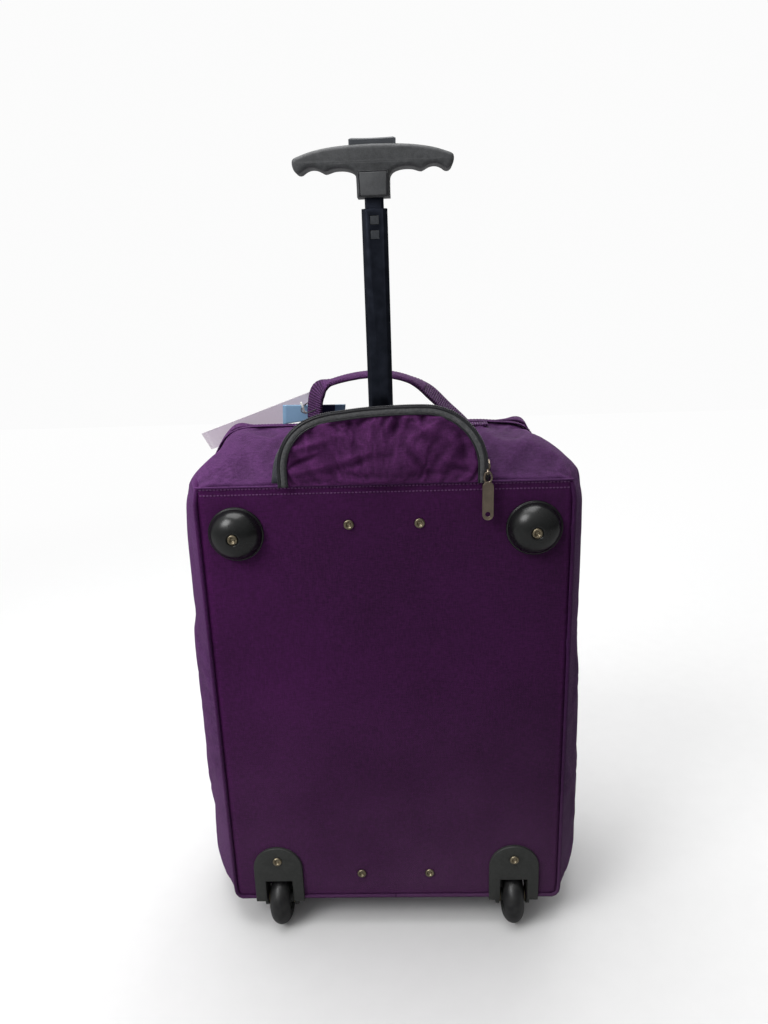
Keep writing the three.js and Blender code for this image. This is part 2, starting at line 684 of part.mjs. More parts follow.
/** Every rivet through the back panel, apart from the dome and housing rivets' own heights. */
function rivetPlaces() {
  const mirrored = ({ x, z }) => [{ x: -x, z }, { x, z }];
  return [
    ...mirrored(BRACKET_RIVETS.top),
    ...mirrored(BRACKET_RIVETS.bottom),
    ...mirrored(DOME),
    ...mirrored({ x: WHEEL_X, z: HOUSING_RIVET_Z }),
  ];
}

/** A tubular rivet along y: its head stands on the plane y = seat, its tail is set at y = tail. */
function rivet({ x, z }, seat, tail) {
  const { headR, headHigh, shankR, tailR, tailHigh } = RIVET;
  return turnedY(
    [
      [0, seat - headHigh * 0.35],
      [headR * 0.42, seat - headHigh * 0.45],
      [headR * 0.58, seat - headHigh],
      [headR * 0.86, seat - headHigh * 0.85],
      [headR, seat - headHigh * 0.3],
      [headR, seat],
      [shankR, seat],
      [shankR, tail],
      [tailR, tail],
      [tailR, tail + tailHigh],
      [0, tail + tailHigh],
    ],
    x, z, 12,
  );
}

/** A hollow moulded skid dome on the back panel, with a boss and a seat for its rivet. */
function skidDome(sign) {
  const hole = RIVET.shankR + GAP;
  return turnedY(
    [
      [hole, -GAP], [5.4, -GAP], [5.4, -12.6], [12.5, -12.2], [18, -7.5], [18.8, -GAP], [DOME.r, -GAP],
      [DOME.r, -1.6], [DOME.r - 1.3, -3], [21.9, -3.2], [21.3, -7.2], [19.3, -11.4], [15.6, -15], [11, -17.2],
      [5.9, -DOME.high], [5.4, -16.3], [hole, -16.3],
    ],
    sign * DOME.x, DOME.z, 26,
  );
}

/** A wheel housing: an arched face on the panel, a plate under the body, and a well with two ears. */
function wheelHousing(sign) {
  const x = sign * WHEEL_X;
  const faceY = -4.5;
  const base = BOTTOM_Z - GAP;
  const springZ = 75;
  const arch = new THREE.Shape();
  arch.moveTo(x - HOUSING_HALF, base - 3.4);
  arch.lineTo(x + HOUSING_HALF, base - 3.4);
  arch.lineTo(x + HOUSING_HALF, springZ);
  arch.absarc(x, springZ, HOUSING_HALF, 0, Math.PI);
  const face = plate(arch, faceY, -GAP, 1, 10);
  const sole = block(x - HOUSING_HALF, x + HOUSING_HALF, -1, 52, base - 3.4, base);
  const out = WELL_HALF + WELL_WALL;
  const well = block(x - out, x + out, -2, 48, base - 1, 62);
  const ear = (side) => {
    const a = x + side * WELL_HALF;
    const b = x + side * out;
    const [lo, hi] = [Math.min(a, b), Math.max(a, b)];
    return join(
      block(lo, hi, WHEEL_Y - 9, WHEEL_Y + 9, WHEEL_R, base),
      rod("x", 9, lo, hi, WHEEL_Y, WHEEL_R, 28),
    );
  };
  const mouth = block(x - WELL_HALF, x + WELL_HALF, -9, 45, -5, 59.6);
  const axleBore = rod("x", AXLE_R + 0.35, x - 30, x + 30, WHEEL_Y, WHEEL_R, 24);
  const rivetHole = rod("y", RIVET.shankR + GAP, -9, 2, x, HOUSING_RIVET_Z, 12);
  return cut(join(face, sole, well, ear(-1), ear(1)), mouth, axleBore, rivetHole);
}

function axle(sign) {
  const end = WELL_HALF + WELL_WALL + GAP;
  return turnedX(
    [[0, -end - 1.4], [4.4, -end - 1.4], [4.4, -end], [AXLE_R, -end], [AXLE_R, end], [4.4, end],
      [4.4, end + 1.4], [0, end + 1.4]],
    sign * WHEEL_X, WHEEL_Y, WHEEL_R, 16,
  );
}

const HUB_R = 17;

function wheelHub(sign) {
  const bore = AXLE_R + 0.4;
  return turnedX(
    [[bore, -12.6], [6, -12.6], [6.6, -8], [13, -8], [14, -10.4], [HUB_R, -10.4], [HUB_R, 10.4], [14, 10.4],
      [13, 8], [6.6, 8], [6, 12.6], [bore, 12.6]],
    sign * WHEEL_X, WHEEL_Y, WHEEL_R,
  );
}

function wheelTyre(sign) {
  const half = WHEEL_WIDE / 2;
  const bore = HUB_R + 0.3;
  return turnedX(
    [[bore, -half + 1], [21, -half], [24.6, -half + 1.2], [27, -half + 4], [WHEEL_R, -4], [WHEEL_R, 4],
      [27, half - 4], [24.6, half - 1.2], [21, half], [bore, half - 1]],
    sign * WHEEL_X, WHEEL_Y, WHEEL_R,
  );
}

/** A moulded foot under the body's front edge, as tall as the wheels hold the body up. */
function standFoot(sign) {
  const x = sign * 122;
  const top = BOTTOM_Z - GAP;
  const shape = new THREE.Shape();
  shape.moveTo(x - 26, 2);
  shape.lineTo(x - 24, 0);
  shape.lineTo(x + 24, 0);
  shape.lineTo(x + 26, 2);
  shape.lineTo(x + 31, top);
  shape.lineTo(x - 31, top);
  return plate(shape, 130, 156, 1.5);
}

// ---------------------------------------------------------------- assembly

const finish = (color, roughness, metalness = 0) =>
  new THREE.MeshStandardMaterial({ color, roughness, metalness });

const MATERIALS = {
  panel: finish(0x3a1a48, 0.85),
  fabric: finish(0x57336a, 0.85),
  lining: finish(0x1c1c20, 0.9),
  board: finish(0x202024, 0.7),
  tape: finish(0x45484a, 0.85),
  zip: finish(0x2a1a34, 0.7),
  webbing: finish(0x5a3270, 0.8),
  plastic: finish(0x15181a, 0.45),
  grip: finish(0x3a3f40, 0.6),
  tube: finish(0x14161e, 0.35, 0.6),
  steel: finish(0xb4ac98, 0.35, 1),
  tyre: finish(0x2b2c2c, 0.7),
  card: finish(0xb8b0bc, 0.7),
  booklet: finish(0x6f9fc4, 0.6),
};

const suitcase = new THREE.Group();
suitcase.position.set(0, -FOOTPRINT_MID_Y, 0);

function place(name, material, made) {
  const mesh = new THREE.Mesh(geometryOf(made), MATERIALS[material]);
  mesh.name = name;
  suitcase.add(mesh);
}

const SIDES = [["left", -1], ["right", 1]];

place("bag_base", "fabric", bagBase());
place("lid_shell", "fabric", lidShell());
place("back_panel", "panel", backSheet(0.4, 0, PANEL_FABRIC));
place("back_board", "board", backSheet(1.4, BOARD_BACK, BOARD_FRONT));
place("inner_lining", "lining", innerLining());
place("main_zip_tape_back", "zip", mainZipHalf(-1));
place("main_zip_tape_front", "zip", mainZipHalf(1));
place("lower_pocket", "fabric", frontPocket(LOWER_POCKET));
place("upper_pocket", "fabric", frontPocket(UPPER_POCKET));
place("lower_pocket_slider", "steel", frontPocketSlider(-112, LOWER_POCKET.z1 - 14));
place("upper_pocket_slider", "steel", frontPocketSlider(-88, UPPER_POCKET.z1 - 14));

place("pocket_liner", "lining", pocketLiner());
place("pocket_zip_tape", "tape", pocketZipTape());
place("pocket_zip_slider", "steel", pocketZipSlider());
place("pocket_zip_pull", "steel", pocketZipPull());
place("handle_flap", "fabric", handleFlap());
place("flap_zip_tape", "tape", flapZipTape());

place("carry_strap", "webbing", carryStrap());
place("carry_wrap", "webbing", carryWrap());

place("tag_loop", "plastic", tagLoop(0));
place("hang_tag_card", "card", tag(TAG_CARD, 75.8, 76.6));
place("hang_tag_booklet", "booklet", tag(TAG_BOOKLET, 78, 79.6));

place("outer_tube", "tube", tube(OUTER_TUBE));
place("middle_tube", "tube", middleTube());
place("inner_tube", "tube", tube(INNER_TUBE));
place("lock_leaf", "plastic", lockLeaf());
place("pole_bezel", "plastic", poleBezel());
place("pole_bracket_top", "plastic", poleBracket(BRACKET_RIVETS.top, 46, 437, 458, 400));
place("pole_bracket_bottom", "plastic", poleBracket(BRACKET_RIVETS.bottom, 50, 52, 80, OUTER_TUBE.z0 - GAP));
place("grip_shell_back", "grip", gripShell(false));
place("grip_shell_front", "grip", gripShell(true));
place("release_button", "grip", releaseButton());

for (const [side, sign] of SIDES) {
  place(`back_piping_${side}`, "fabric", backPiping(sign));
  place(`main_zip_slider_${side}`, "steel", mainZipSlider(sign * MAIN_SLIDER_X));
  place(`main_zip_pull_${side}`, "steel", mainZipPull(sign * MAIN_SLIDER_X, sign));
  place(`skid_dome_${side}`, "plastic", skidDome(sign));
  place(`wheel_housing_${side}`, "plastic", wheelHousing(sign));
  place(`axle_${side}`, "steel", axle(sign));
  place(`wheel_hub_${side}`, "plastic", wheelHub(sign));
  place(`wheel_tyre_${side}`, "tyre", wheelTyre(sign));
  place(`stand_foot_${side}`, "plastic", standFoot(sign));

  const at = ({ x, z }) => ({ x: sign * x, z });
  const bracketTail = BOARD_FRONT + 0.3 + 2.5 + 0.3;
  const boardTail = BOARD_FRONT + 0.3;
  place(`rivet_bracket_top_${side}`, "steel", rivet(at(BRACKET_RIVETS.top), -0.3, bracketTail));
  place(`rivet_bracket_bottom_${side}`, "steel", rivet(at(BRACKET_RIVETS.bottom), -0.3, bracketTail));
  place(`rivet_dome_${side}`, "steel", rivet(at(DOME), -16.6, boardTail));
  place(`rivet_housing_${side}`, "steel", rivet(at({ x: WHEEL_X, z: HOUSING_RIVET_Z }), -4.8, boardTail));
}

export default suitcase;
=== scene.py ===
"""The looks of a softside upright cabin case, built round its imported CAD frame.

Lengths in the code are millimetres in the case's own coordinates: x to the right seen from the trolley side,
y = 0 on the back panel's outer face and growing towards the front pockets, z up from the ground.
P() turns them into the frame's metres.
"""
import math

import bmesh
import bpy
import numpy as np
from mathutils import Matrix, Vector, noise


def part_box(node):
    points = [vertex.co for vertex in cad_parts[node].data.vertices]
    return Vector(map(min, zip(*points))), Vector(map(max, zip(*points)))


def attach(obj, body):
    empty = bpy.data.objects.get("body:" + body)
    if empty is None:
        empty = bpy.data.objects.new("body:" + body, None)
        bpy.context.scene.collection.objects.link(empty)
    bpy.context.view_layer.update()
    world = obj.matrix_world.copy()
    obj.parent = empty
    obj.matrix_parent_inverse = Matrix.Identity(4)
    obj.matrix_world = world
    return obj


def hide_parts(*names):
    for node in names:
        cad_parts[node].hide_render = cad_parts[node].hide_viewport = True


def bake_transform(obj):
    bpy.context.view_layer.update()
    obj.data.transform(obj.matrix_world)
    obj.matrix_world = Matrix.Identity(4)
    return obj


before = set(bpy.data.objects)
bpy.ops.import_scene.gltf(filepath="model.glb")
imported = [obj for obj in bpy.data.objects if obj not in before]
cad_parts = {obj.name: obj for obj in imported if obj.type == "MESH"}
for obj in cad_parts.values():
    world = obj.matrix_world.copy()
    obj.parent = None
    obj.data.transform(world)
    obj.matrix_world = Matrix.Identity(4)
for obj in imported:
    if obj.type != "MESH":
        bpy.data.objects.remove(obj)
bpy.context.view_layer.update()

MM = 0.001
BACK_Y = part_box("back_panel")[0].y


def P(x, y, z):
    """A point in case millimetres, as a frame point in metres."""
    return Vector((x * MM, BACK_Y + y * MM, z * MM))


# ------------------------------------------------------------------ driving dimensions

BACK_HALF, MID_HALF, FRONT_HALF = 170.0, 199.0, 176.0
BOTTOM_Z, SEAM_Z, CREST_Z, FRONT_TOP_Z = 37.0, 490.0, 528.0, 470.0
ZIP_Y, DEPTH = 85.0, 170.0
CREST_LOW_Z = 480
CENTRE_Z = 280.0
TUB_Z = 110.0  # the side zips turn forward here, and the lid folds here
ZIP_BEND = 25.0
ZIP_EDGE = 5.0  # from the zip's middle to the fabric edges
FABRIC = 1.6


def middle(node):
    """A CAD node's middle in case millimetres."""
    low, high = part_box(node)
    return (low.x + high.x) / 2 / MM, ((low.y + high.y) / 2 - BACK_Y) / MM, (low.z + high.z) / 2 / MM


POLE_Y = middle("middle_tube")[1]
COLLAR_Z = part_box("grip_shell_back")[0].z / MM
GRIP_HALF_DEEP = 13.0

WHEEL_X, WHEEL_Y, WHEEL_Z = middle("wheel_tyre_right")
DOME_X, _, DOME_Z = middle("skid_dome_right")
DOME_R = 25.7
BRACKET_RIVETS = {
    f"{level}_{side}": middle(f"rivet_bracket_{level}_{side}")
    for level in ("top", "bottom") for side in ("left", "right")
}
HOUSING_RIVET_Z = middle("rivet_housing_right")[2]

SIDES = [("left", -1), ("right", 1)]
BACKWARD, SIDEWAYS = (0, -1, 0), (1, 0, 0)

# ------------------------------------------------------------------ node materials


class Tree:
    """A short way to write a node tree."""

    def __init__(self, tree):
        self.nt = tree
        self.coords = tree.nodes.new("ShaderNodeTexCoord")

    def put(self, socket, value):
        if isinstance(value, bpy.types.NodeSocket):
            self.nt.links.new(value, socket)
        else:
            socket.default_value = value

    def node(self, kind, **settings):
        made = self.nt.nodes.new(kind)
        for key, value in settings.items():
            setattr(made, key, value)
        return made

    def feed(self, made, **inputs):
        """Sets or links a node's inputs by name, or by number as i0, i1, ..."""
        for key, value in inputs.items():
            self.put(made.inputs[int(key[1:]) if key[1:].isdigit() else key], value)
        return made

    def math(self, operation, a, b=0.0, **more):
        return self.feed(self.node("ShaderNodeMath", operation=operation), i0=a, i1=b, **more).outputs[0]

    def total(self, *terms):
        """The sum of (value, weight) terms."""
        shares = [self.math("MULTIPLY", value, weight) for value, weight in terms]
        while len(shares) > 1:
            shares[:2] = [self.math("ADD", shares[0], shares[1])]
        return shares[0]

    def vmath(self, operation, a, b=(0, 0, 0)):
        made = self.feed(self.node("ShaderNodeVectorMath", operation=operation), i0=a, i1=b)
        return made.outputs["Value"] if operation == "DOT_PRODUCT" else made.outputs[0]

    def split(self, vector):
        return self.feed(self.node("ShaderNodeSeparateXYZ"), Vector=vector).outputs

    def joined(self, x, y, z):
        return self.feed(self.node("ShaderNodeCombineXYZ"), X=x, Y=y, Z=z).outputs[0]

    def remap(self, value, *levels, **settings):
        """Maps a value's range, the first two levels, to the last two."""
        limits = {f"i{index + 1}": level for index, level in enumerate(levels)}
        return self.feed(self.node("ShaderNodeMapRange", **settings), Value=value, **limits).outputs[0]

    def times(self, colour, value):
        return self.vmath("MULTIPLY", colour, self.joined(value, value, value))


class Shader(Tree):
    """A material's tree, with its principled shader."""

    def __init__(self, name, roughness=0.5, metallic=0.0, sheen=0.0, specular=0.5):
        self.mat = bpy.data.materials.new(name)
        self.mat.use_nodes = True
        super().__init__(self.mat.node_tree)
        self.bsdf = self.nt.nodes["Principled BSDF"]
        self.set("Roughness", roughness)
        self.set("Metallic", metallic)
        self.set("Sheen Weight", sheen)
        self.set("Sheen Roughness", 0.45)
        self.set("Specular IOR Level", specular)

    def set(self, name, value):
        self.put(self.bsdf.inputs[name], value)

    def scaled(self, vector):
        """The object's coordinates in metres, times a vector."""
        return self.vmath("MULTIPLY", self.coords.outputs["Object"], vector)

    def geometry(self, name):
        return self.node("ShaderNodeNewGeometry").outputs[name]

    def noise(self, scale, detail=3.0, stretch=(1, 1, 1)):
        made = self.node("ShaderNodeTexNoise")
        self.feed(made, Vector=self.scaled(tuple(scale * s for s in stretch)), Scale=1.0, Detail=detail)
        return made.outputs["Fac"]

    def ramp(self, value, low, dark, high, light):
        """A colour ramp from dark at low to light at high."""
        made = self.feed(self.node("ShaderNodeValToRGB"), Fac=value)
        for element, position, colour in zip(made.color_ramp.elements, (low, high), (dark, light)):
            element.position = position
            element.color = (*colour, 1)
        return made.outputs["Color"]

    def mix(self, share, a, b):
        made = self.feed(self.node("ShaderNodeMix", data_type="RGBA"), i0=share)
        for index, value in ((6, a), (7, b)):
            self.put(made.inputs[index], value if isinstance(value, bpy.types.NodeSocket) else (*value, 1))
        return made.outputs[2]

    def bump(self, height, distance, strength):
        made = self.feed(self.node("ShaderNodeBump"), Height=height, Distance=distance, Strength=strength)
        self.set("Normal", made.outputs[0])

    def weave(self, pitch):
        """A plain weave's height, from -1 to 1, on whichever plane the surface faces."""
        turns = 2 * math.pi / (pitch * MM)
        x, y, z = self.split(self.vmath("SINE", self.scaled((turns, turns, turns))))
        waves = self.joined(self.math("MULTIPLY", y, z), self.math("MULTIPLY", x, z), self.math("MULTIPLY", x, y))
        facing = self.vmath("ABSOLUTE", self.coords.outputs["Normal"])
        return self.vmath("DOT_PRODUCT", waves, self.vmath("MULTIPLY", facing, facing))


# A pale greyish tone that the fabric takes on low down: painted bounce light from the floor.
FLOOR_BOUNCE_TONE = (0.15, 0.095, 0.14)


def fabric(name, dark, light, pitch=1.15, bump=0.00022):
    """Woven polyester: weave, thread-to-thread colour, painted shade in its folds and painted light on their ridges,
    painted shade towards the right, and painted bounce light low down as a pale greyish tone in patches.
    """
    s = Shader(name, roughness=0.75, sheen=0.22, specular=0.2)
    s.set("Sheen Tint", (*[min(1, c * 3.0 + 0.03) for c in light], 1))
    weave = s.weave(pitch)
    warp = s.noise(900, 2.0, (0.2, 0.2, 1.0))
    weft = s.noise(900, 2.0, (1.0, 1.0, 0.2))
    threads = s.math("MULTIPLY", s.math("ADD", warp, weft), 0.5)
    cloudy = s.noise(7, 3.0)
    colour = s.ramp(s.total((weave, 0.20), (threads, 0.8), (cloudy, 0.45)), 0.40, dark, 0.86, light)
    # painted shade in concave folds and painted light on convex ridges, from the mesh's pointiness
    colour = s.times(colour, s.remap(s.geometry("Pointiness"), 0.475, 0.525, 0.75, 1.18))
    x, _, z = s.split(s.coords.outputs["Object"])
    # painted light on the left and painted shade on the right, as from a lamp on the left
    colour = s.times(colour, s.remap(x, -0.18, 0.18, 1.17, 0.74))
    # paler low down, in patches: painted bounce light from the floor
    low = s.remap(z, 0.33, 0.03, interpolation_type="SMOOTHSTEP")
    floor_bounce = s.math("MULTIPLY", low, s.math("MULTIPLY", cloudy, 0.36))
    s.set("Base Color", s.mix(floor_bounce, colour, FLOOR_BOUNCE_TONE))
    s.bump(s.math("ADD", weave, s.math("MULTIPLY", threads, 1.2)), bump, 0.8)
    return s.mat


def webbing_material(name, dark, light):
    """Ribbed webbing: strong ribs across the strap, laid out along its uv."""
    s = Shader(name, roughness=0.7, sheen=0.15, specular=0.2)
    s.set("Sheen Tint", (0.5, 0.2, 0.6, 1))
    along, across, _ = s.split(s.coords.outputs["UV"])
    rib = s.math("SINE", s.math("MULTIPLY", along, 2 * math.pi / 2.3))
    twill = s.math("SINE", s.math("MULTIPLY", across, 2 * math.pi / 1.1))
    height = s.math("ADD", rib, s.math("MULTIPLY", twill, 0.35))
    tone = s.math("ADD", s.math("MULTIPLY", height, 0.25), s.noise(500, 2.0))
    s.set("Base Color", s.ramp(tone, 0.25, dark, 0.95, light))
    s.bump(height, 0.0005, 0.9)
    return s.mat


def tape_material(name, dark, light):
    """Zip tape: a fine twill."""
    s = Shader(name, roughness=0.75, sheen=0.25, specular=0.3)
    weave = s.weave(0.9)
    tone = s.math("ADD", s.math("MULTIPLY", weave, 0.2), s.noise(380, 3.0))
    s.set("Base Color", s.ramp(tone, 0.25, dark, 0.85, light))
    s.bump(weave, 0.00018, 0.7)
    return s.mat


def plastic(name, dark, light, roughness, grain=0.00008):
    """Moulded plastic: fine grain, faint flow marks, scuffs, and paler convex edges that are part wear and part
    painted highlight.
    """
    s = Shader(name)
    fine, flow, scuffs = s.noise(900, 4.0), s.noise(35, 3.0), s.noise(240, 5.0)
    colour = s.ramp(s.total((fine, 0.3), (flow, 0.3), (scuffs, 0.4)), 0.36, dark, 0.64, light)
    edge_wear_and_highlight = tuple(min(1, c * 1.7 + 0.02) for c in light)
    # paler convex edges from the mesh's pointiness: part wear, part painted highlight
    edges = s.remap(s.geometry("Pointiness"), 0.52, 0.60, 0.0, 1.0)
    s.set("Base Color", s.mix(s.math("MULTIPLY", edges, 0.5), colour, edge_wear_and_highlight))
    spread = s.math("MULTIPLY", s.math("SUBTRACT", flow, 0.5), 0.25)
    s.set("Roughness", s.math("ADD", spread, roughness))
    s.bump(fine, grain, 0.6)
    return s.mat


def metal(name, colour, roughness):
    """Plated or coated metal with fine scratches and slightly uneven polish."""
    s = Shader(name, metallic=1.0)
    streaks = s.noise(1500, 2.0, (1, 1, 0.05))
    cloudy = s.noise(120, 3.0)
    s.set("Base Color", s.ramp(cloudy, 0.3, tuple(c * 0.72 for c in colour), 0.7, colour))
    s.set("Roughness", s.math("ADD", s.math("MULTIPLY", cloudy, 0.25), roughness - 0.1))
    s.bump(streaks, 0.00003, 0.5)
    return s.mat


def rubber(name, dark, light):
    """Wheel rubber, with dust on the tread."""
    s = Shader(name)
    dust = s.noise(160, 4.0)
    s.set("Base Color", s.ramp(dust, 0.35, dark, 0.75, light))
    s.set("Roughness", s.math("ADD", s.math("MULTIPLY", dust, 0.3), 0.26))
    s.bump(s.noise(1100, 3.0), 0.0001, 0.6)
    return s.mat


def paper(name, colour, other=None, band=None, glow=0.0):
    """Coated card with faint fibres; other colours a band between two places, in object x metres.

    glow is painted light: an emission on the faces that turn downwards, standing in for the light that comes through
    the card to its underside.
    """
    s = Shader(name, roughness=0.45, specular=0.4)
    fibres = s.noise(700, 3.0)
    base = s.ramp(fibres, 0.2, tuple(c * 0.94 for c in colour), 0.8, colour)
    if other:
        x = s.split(s.coords.outputs["Object"])[0]
        inside = s.math("MULTIPLY", s.math("GREATER_THAN", x, band[0]), s.math("LESS_THAN", x, band[1]))
        base = s.mix(inside, base, other)
    s.set("Base Color", base)
    # painted light: the downward faces glow in their own colour
    s.set("Emission Color", base)
    s.set("Emission Strength", s.remap(s.split(s.geometry("Normal"))[2], 0.36, -0.8, 0.0, glow))
    s.bump(fibres, 0.00003, 0.4)
    return s.mat


MAT = {
    "panel": fabric("panel_weave", (0.027, 0.0022, 0.030), (0.090, 0.0090, 0.102)),
    "fabric": fabric("body_weave", (0.034, 0.0072, 0.043), (0.118, 0.036, 0.146)),
    "flap": fabric("flap_weave", (0.040, 0.0062, 0.045), (0.136, 0.027, 0.150)),
    "lining": fabric("lining_weave", (0.006, 0.006, 0.007), (0.022, 0.022, 0.026), pitch=0.9),
    "piping": fabric("piping_weave", (0.024, 0.0034, 0.030), (0.078, 0.014, 0.094), pitch=0.9),
    "zip_tape": tape_material("purple_zip_tape", (0.012, 0.003, 0.016), (0.040, 0.012, 0.050)),
    "teeth": plastic("purple_teeth", (0.008, 0.003, 0.010), (0.024, 0.009, 0.030), 0.4),
    "grey_tape": tape_material("grey_zip_tape", (0.062, 0.064, 0.067), (0.165, 0.168, 0.172)),
    "dark_tape": tape_material("dark_zip_tape", (0.010, 0.011, 0.016), (0.034, 0.037, 0.048)),
    "dark_teeth": plastic("dark_teeth", (0.004, 0.004, 0.006), (0.013, 0.013, 0.017), 0.38),
    "thread": fabric("stitch_thread", (0.085, 0.028, 0.095), (0.20, 0.085, 0.22), pitch=0.5, bump=0.0001),
    "webbing": webbing_material("ribbed_webbing", (0.020, 0.0035, 0.026), (0.15, 0.050, 0.185)),
    "gloss": plastic("gloss_black", (0.0045, 0.005, 0.005), (0.010, 0.011, 0.011), 0.28, grain=0.00002),
    "housing": plastic("housing_plastic", (0.018, 0.020, 0.018), (0.036, 0.038, 0.036), 0.5),
    "grip": plastic("grip_plastic", (0.040, 0.042, 0.045), (0.088, 0.091, 0.096), 0.48, grain=0.00014),
    "button": plastic("button_plastic", (0.030, 0.034, 0.040), (0.070, 0.076, 0.086), 0.36),
    "pole": metal("pole_coating", (0.040, 0.046, 0.066), 0.32),
    "steel": metal("plated_metal", (0.34, 0.29, 0.20), 0.32),
    "pull": metal("pull_metal", (0.30, 0.245, 0.19), 0.30),
    "tread": rubber("wheel_tread", (0.007, 0.007, 0.008), (0.024, 0.024, 0.024)),
    # the card's downward faces glow: painted light
    "card": paper("tag_card", (0.66, 0.60, 0.66), glow=0.62),
    "booklet": paper("tag_booklet", (0.28, 0.47, 0.68), (0.020, 0.025, 0.075), (-0.0620, -0.0475)),
    "white": paper("tag_toggle", (0.75, 0.75, 0.73)),
}

# ------------------------------------------------------------------ mesh helpers


def shade_smooth(mesh):
    mesh.polygons.foreach_set("use_smooth", [True] * len(mesh.polygons))


def mesh_object(name, verts, faces, material):
    """A mesh object from case-millimetre points. material is one name or several, for slots 0, 1, ..."""
    mesh = bpy.data.meshes.new(name)
    mesh.from_pydata([P(*v) for v in verts], [], [tuple(map(int, f)) for f in faces])
    shade_smooth(mesh)
    made = bpy.data.objects.new(name, mesh)
    bpy.context.scene.collection.objects.link(made)
    for key in [material] if isinstance(material, str) else material:
        mesh.materials.append(MAT[key])
    return made


def finish_piece(made, body, slot, *nodes):
    """Puts a piece on its body and hides the CAD nodes it stands for. slot is not used."""
    if nodes:
        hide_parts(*nodes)
    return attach(made, body)


def crossing_piece(made, bodies, start, end, slot, *nodes):
    """Bakes a piece of fabric's placing into its mesh and hides the CAD nodes it stands for. bodies, start, end and
    slot are not used.
    """
    if nodes:
        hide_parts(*nodes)
    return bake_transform(made)


def grid_faces(rows, columns, wrap=False, flip=False):
    """Quads of a row-major grid. wrap joins each row's end to its start."""
    faces = []
    for r in range(rows - 1):
        for c in range(columns if wrap else columns - 1):
            d = (c + 1) % columns
            quad = (r * columns + c, r * columns + d, (r + 1) * columns + d, (r + 1) * columns + c)
            faces.append(quad[::-1] if flip else quad)
    return faces


def tube_ends(rows, count, closed):
    """The faces that end a tube of rings: its last ring joined to its first, or a cap at each end."""
    last = (rows - 1) * count
    if closed:
        return [(last + i, last + (i + 1) % count, (i + 1) % count, i) for i in range(count)]
    return [tuple(range(count))[::-1], tuple(last + i for i in range(count))]


def fan(first, count, hub):
    """Triangles from a ring of vertices to a hub."""
    return [(first + i, first + (i + 1) % count, hub) for i in range(count)]


def frame_faces(count):
    """The faces of a flat frame: outer and inner outline, at one depth and then at the other."""
    faces, deep = [], 2 * count
    for a in range(count):
        b = (a + 1) % count
        c, d = count + b, count + a
        faces += [(a, b, c, d), (deep + d, deep + c, deep + b, deep + a)]
        faces += [(a, deep + a, deep + b, b), (c, deep + c, deep + d, d)]
    return faces


def outward(made):
    """Turns a closed mesh's faces outwards."""
    bm = bmesh.new()
    bm.from_mesh(made.data)
    bmesh.ops.recalc_face_normals(bm, faces=bm.faces)
    bm.to_mesh(made.data)
    bm.free()
    return made


def joined_mesh(name, parts, material):
    """One object from several (verts, faces) parts. Faces come out facing outwards part by part."""
    verts, faces = [], []
    for part_verts, part_faces in parts:
        base = len(verts)
        verts += list(part_verts)
        faces += [tuple(base + i for i in face) for face in part_faces]
    return outward(mesh_object(name, verts, faces, material))


def piece(name, parts, material, body, slot, *nodes, soft=None):
    """A finished piece from parts. soft is its bevel's width, in millimetres, and segments."""
    made = joined_mesh(name, parts, material)
    if soft:
        bevel(made, *soft)
    return finish_piece(made, body, slot, *nodes)


def turned_piece(name, profile, axis, centre, segments, material, *place, closed=True, sharp=None):
    """A finished piece: [radius, along] pairs turned round an axis through centre, with edges sharp from an angle."""
    cx, cy, cz = centre
    verts = []
    for radius, along in profile:
        for i in range(segments):
            a = 2 * math.pi * i / segments
            u, v = radius * math.cos(a), radius * math.sin(a)
            verts.append((cx + along, cy + u, cz + v) if axis == "x" else (cx + u, cy + along, cz + v))
    ends = tube_ends(len(profile), segments, closed)
    faces = grid_faces(len(profile), segments, wrap=True) + (ends if closed else [f[::-1] for f in ends])
    made = outward(mesh_object(name, verts, faces, material))
    if sharp:
        made.data.set_sharp_from_angle(angle=math.radians(sharp))
    finish_piece(made, *place)


def smooth_profile(points, steps=4):
    """A Catmull-Rom curve through the points, ends kept."""
    pts = [np.array(p, float) for p in points]
    pts = [2 * pts[0] - pts[1]] + pts + [2 * pts[-1] - pts[-2]]
    out = []
    for i in range(1, len(pts) - 2):
        a, b, c, d = pts[i - 1:i + 3]
        for k in range(steps):
            t = k / steps
            out.append(0.5 * (2 * b + (c - a) * t + (2 * a - 5 * b + 4 * c - d) * t * t
                              + (3 * b - a - 3 * c + d) * t ** 3))
    out.append(pts[-2])
    return out


def box_part(x0, x1, y0, y1, z0, z1):
    """A box between two corners."""
    corners = [(x, y, z) for x in (x0, x1) for y in (y0, y1) for z in (z0, z1)]
    return corners, [(0, 1, 3, 2), (4, 6, 7, 5), (0, 4, 5, 1), (2, 3, 7, 6), (0, 2, 6, 4), (1, 5, 7, 3)]


def bevel(made, width, segments=2, angle=30):
    """Rounds the edges sharper than an angle."""
    made.modifiers.new("weld", "WELD").merge_threshold = 0.00001
    b = made.modifiers.new("bevel", "BEVEL")
    b.width, b.segments, b.limit_method = width * MM, segments, "ANGLE"
    b.angle_limit = math.radians(angle)
    b.harden_normals = True
    shade_smooth(made.data)
    return made


def thicken(made, thickness, inner_slot=False):
    """Gives an open sheet its thickness, inwards, with a rim."""
    s = made.modifiers.new("thickness", "SOLIDIFY")
    s.thickness, s.offset = thickness * MM, -1
    s.use_even_offset = True
    s.use_rim = True
    if inner_slot:
        s.material_offset = 1
    return made


def finer(made):
    sub = made.modifiers.new("finer", "SUBSURF")
    sub.levels = sub.render_levels = 1


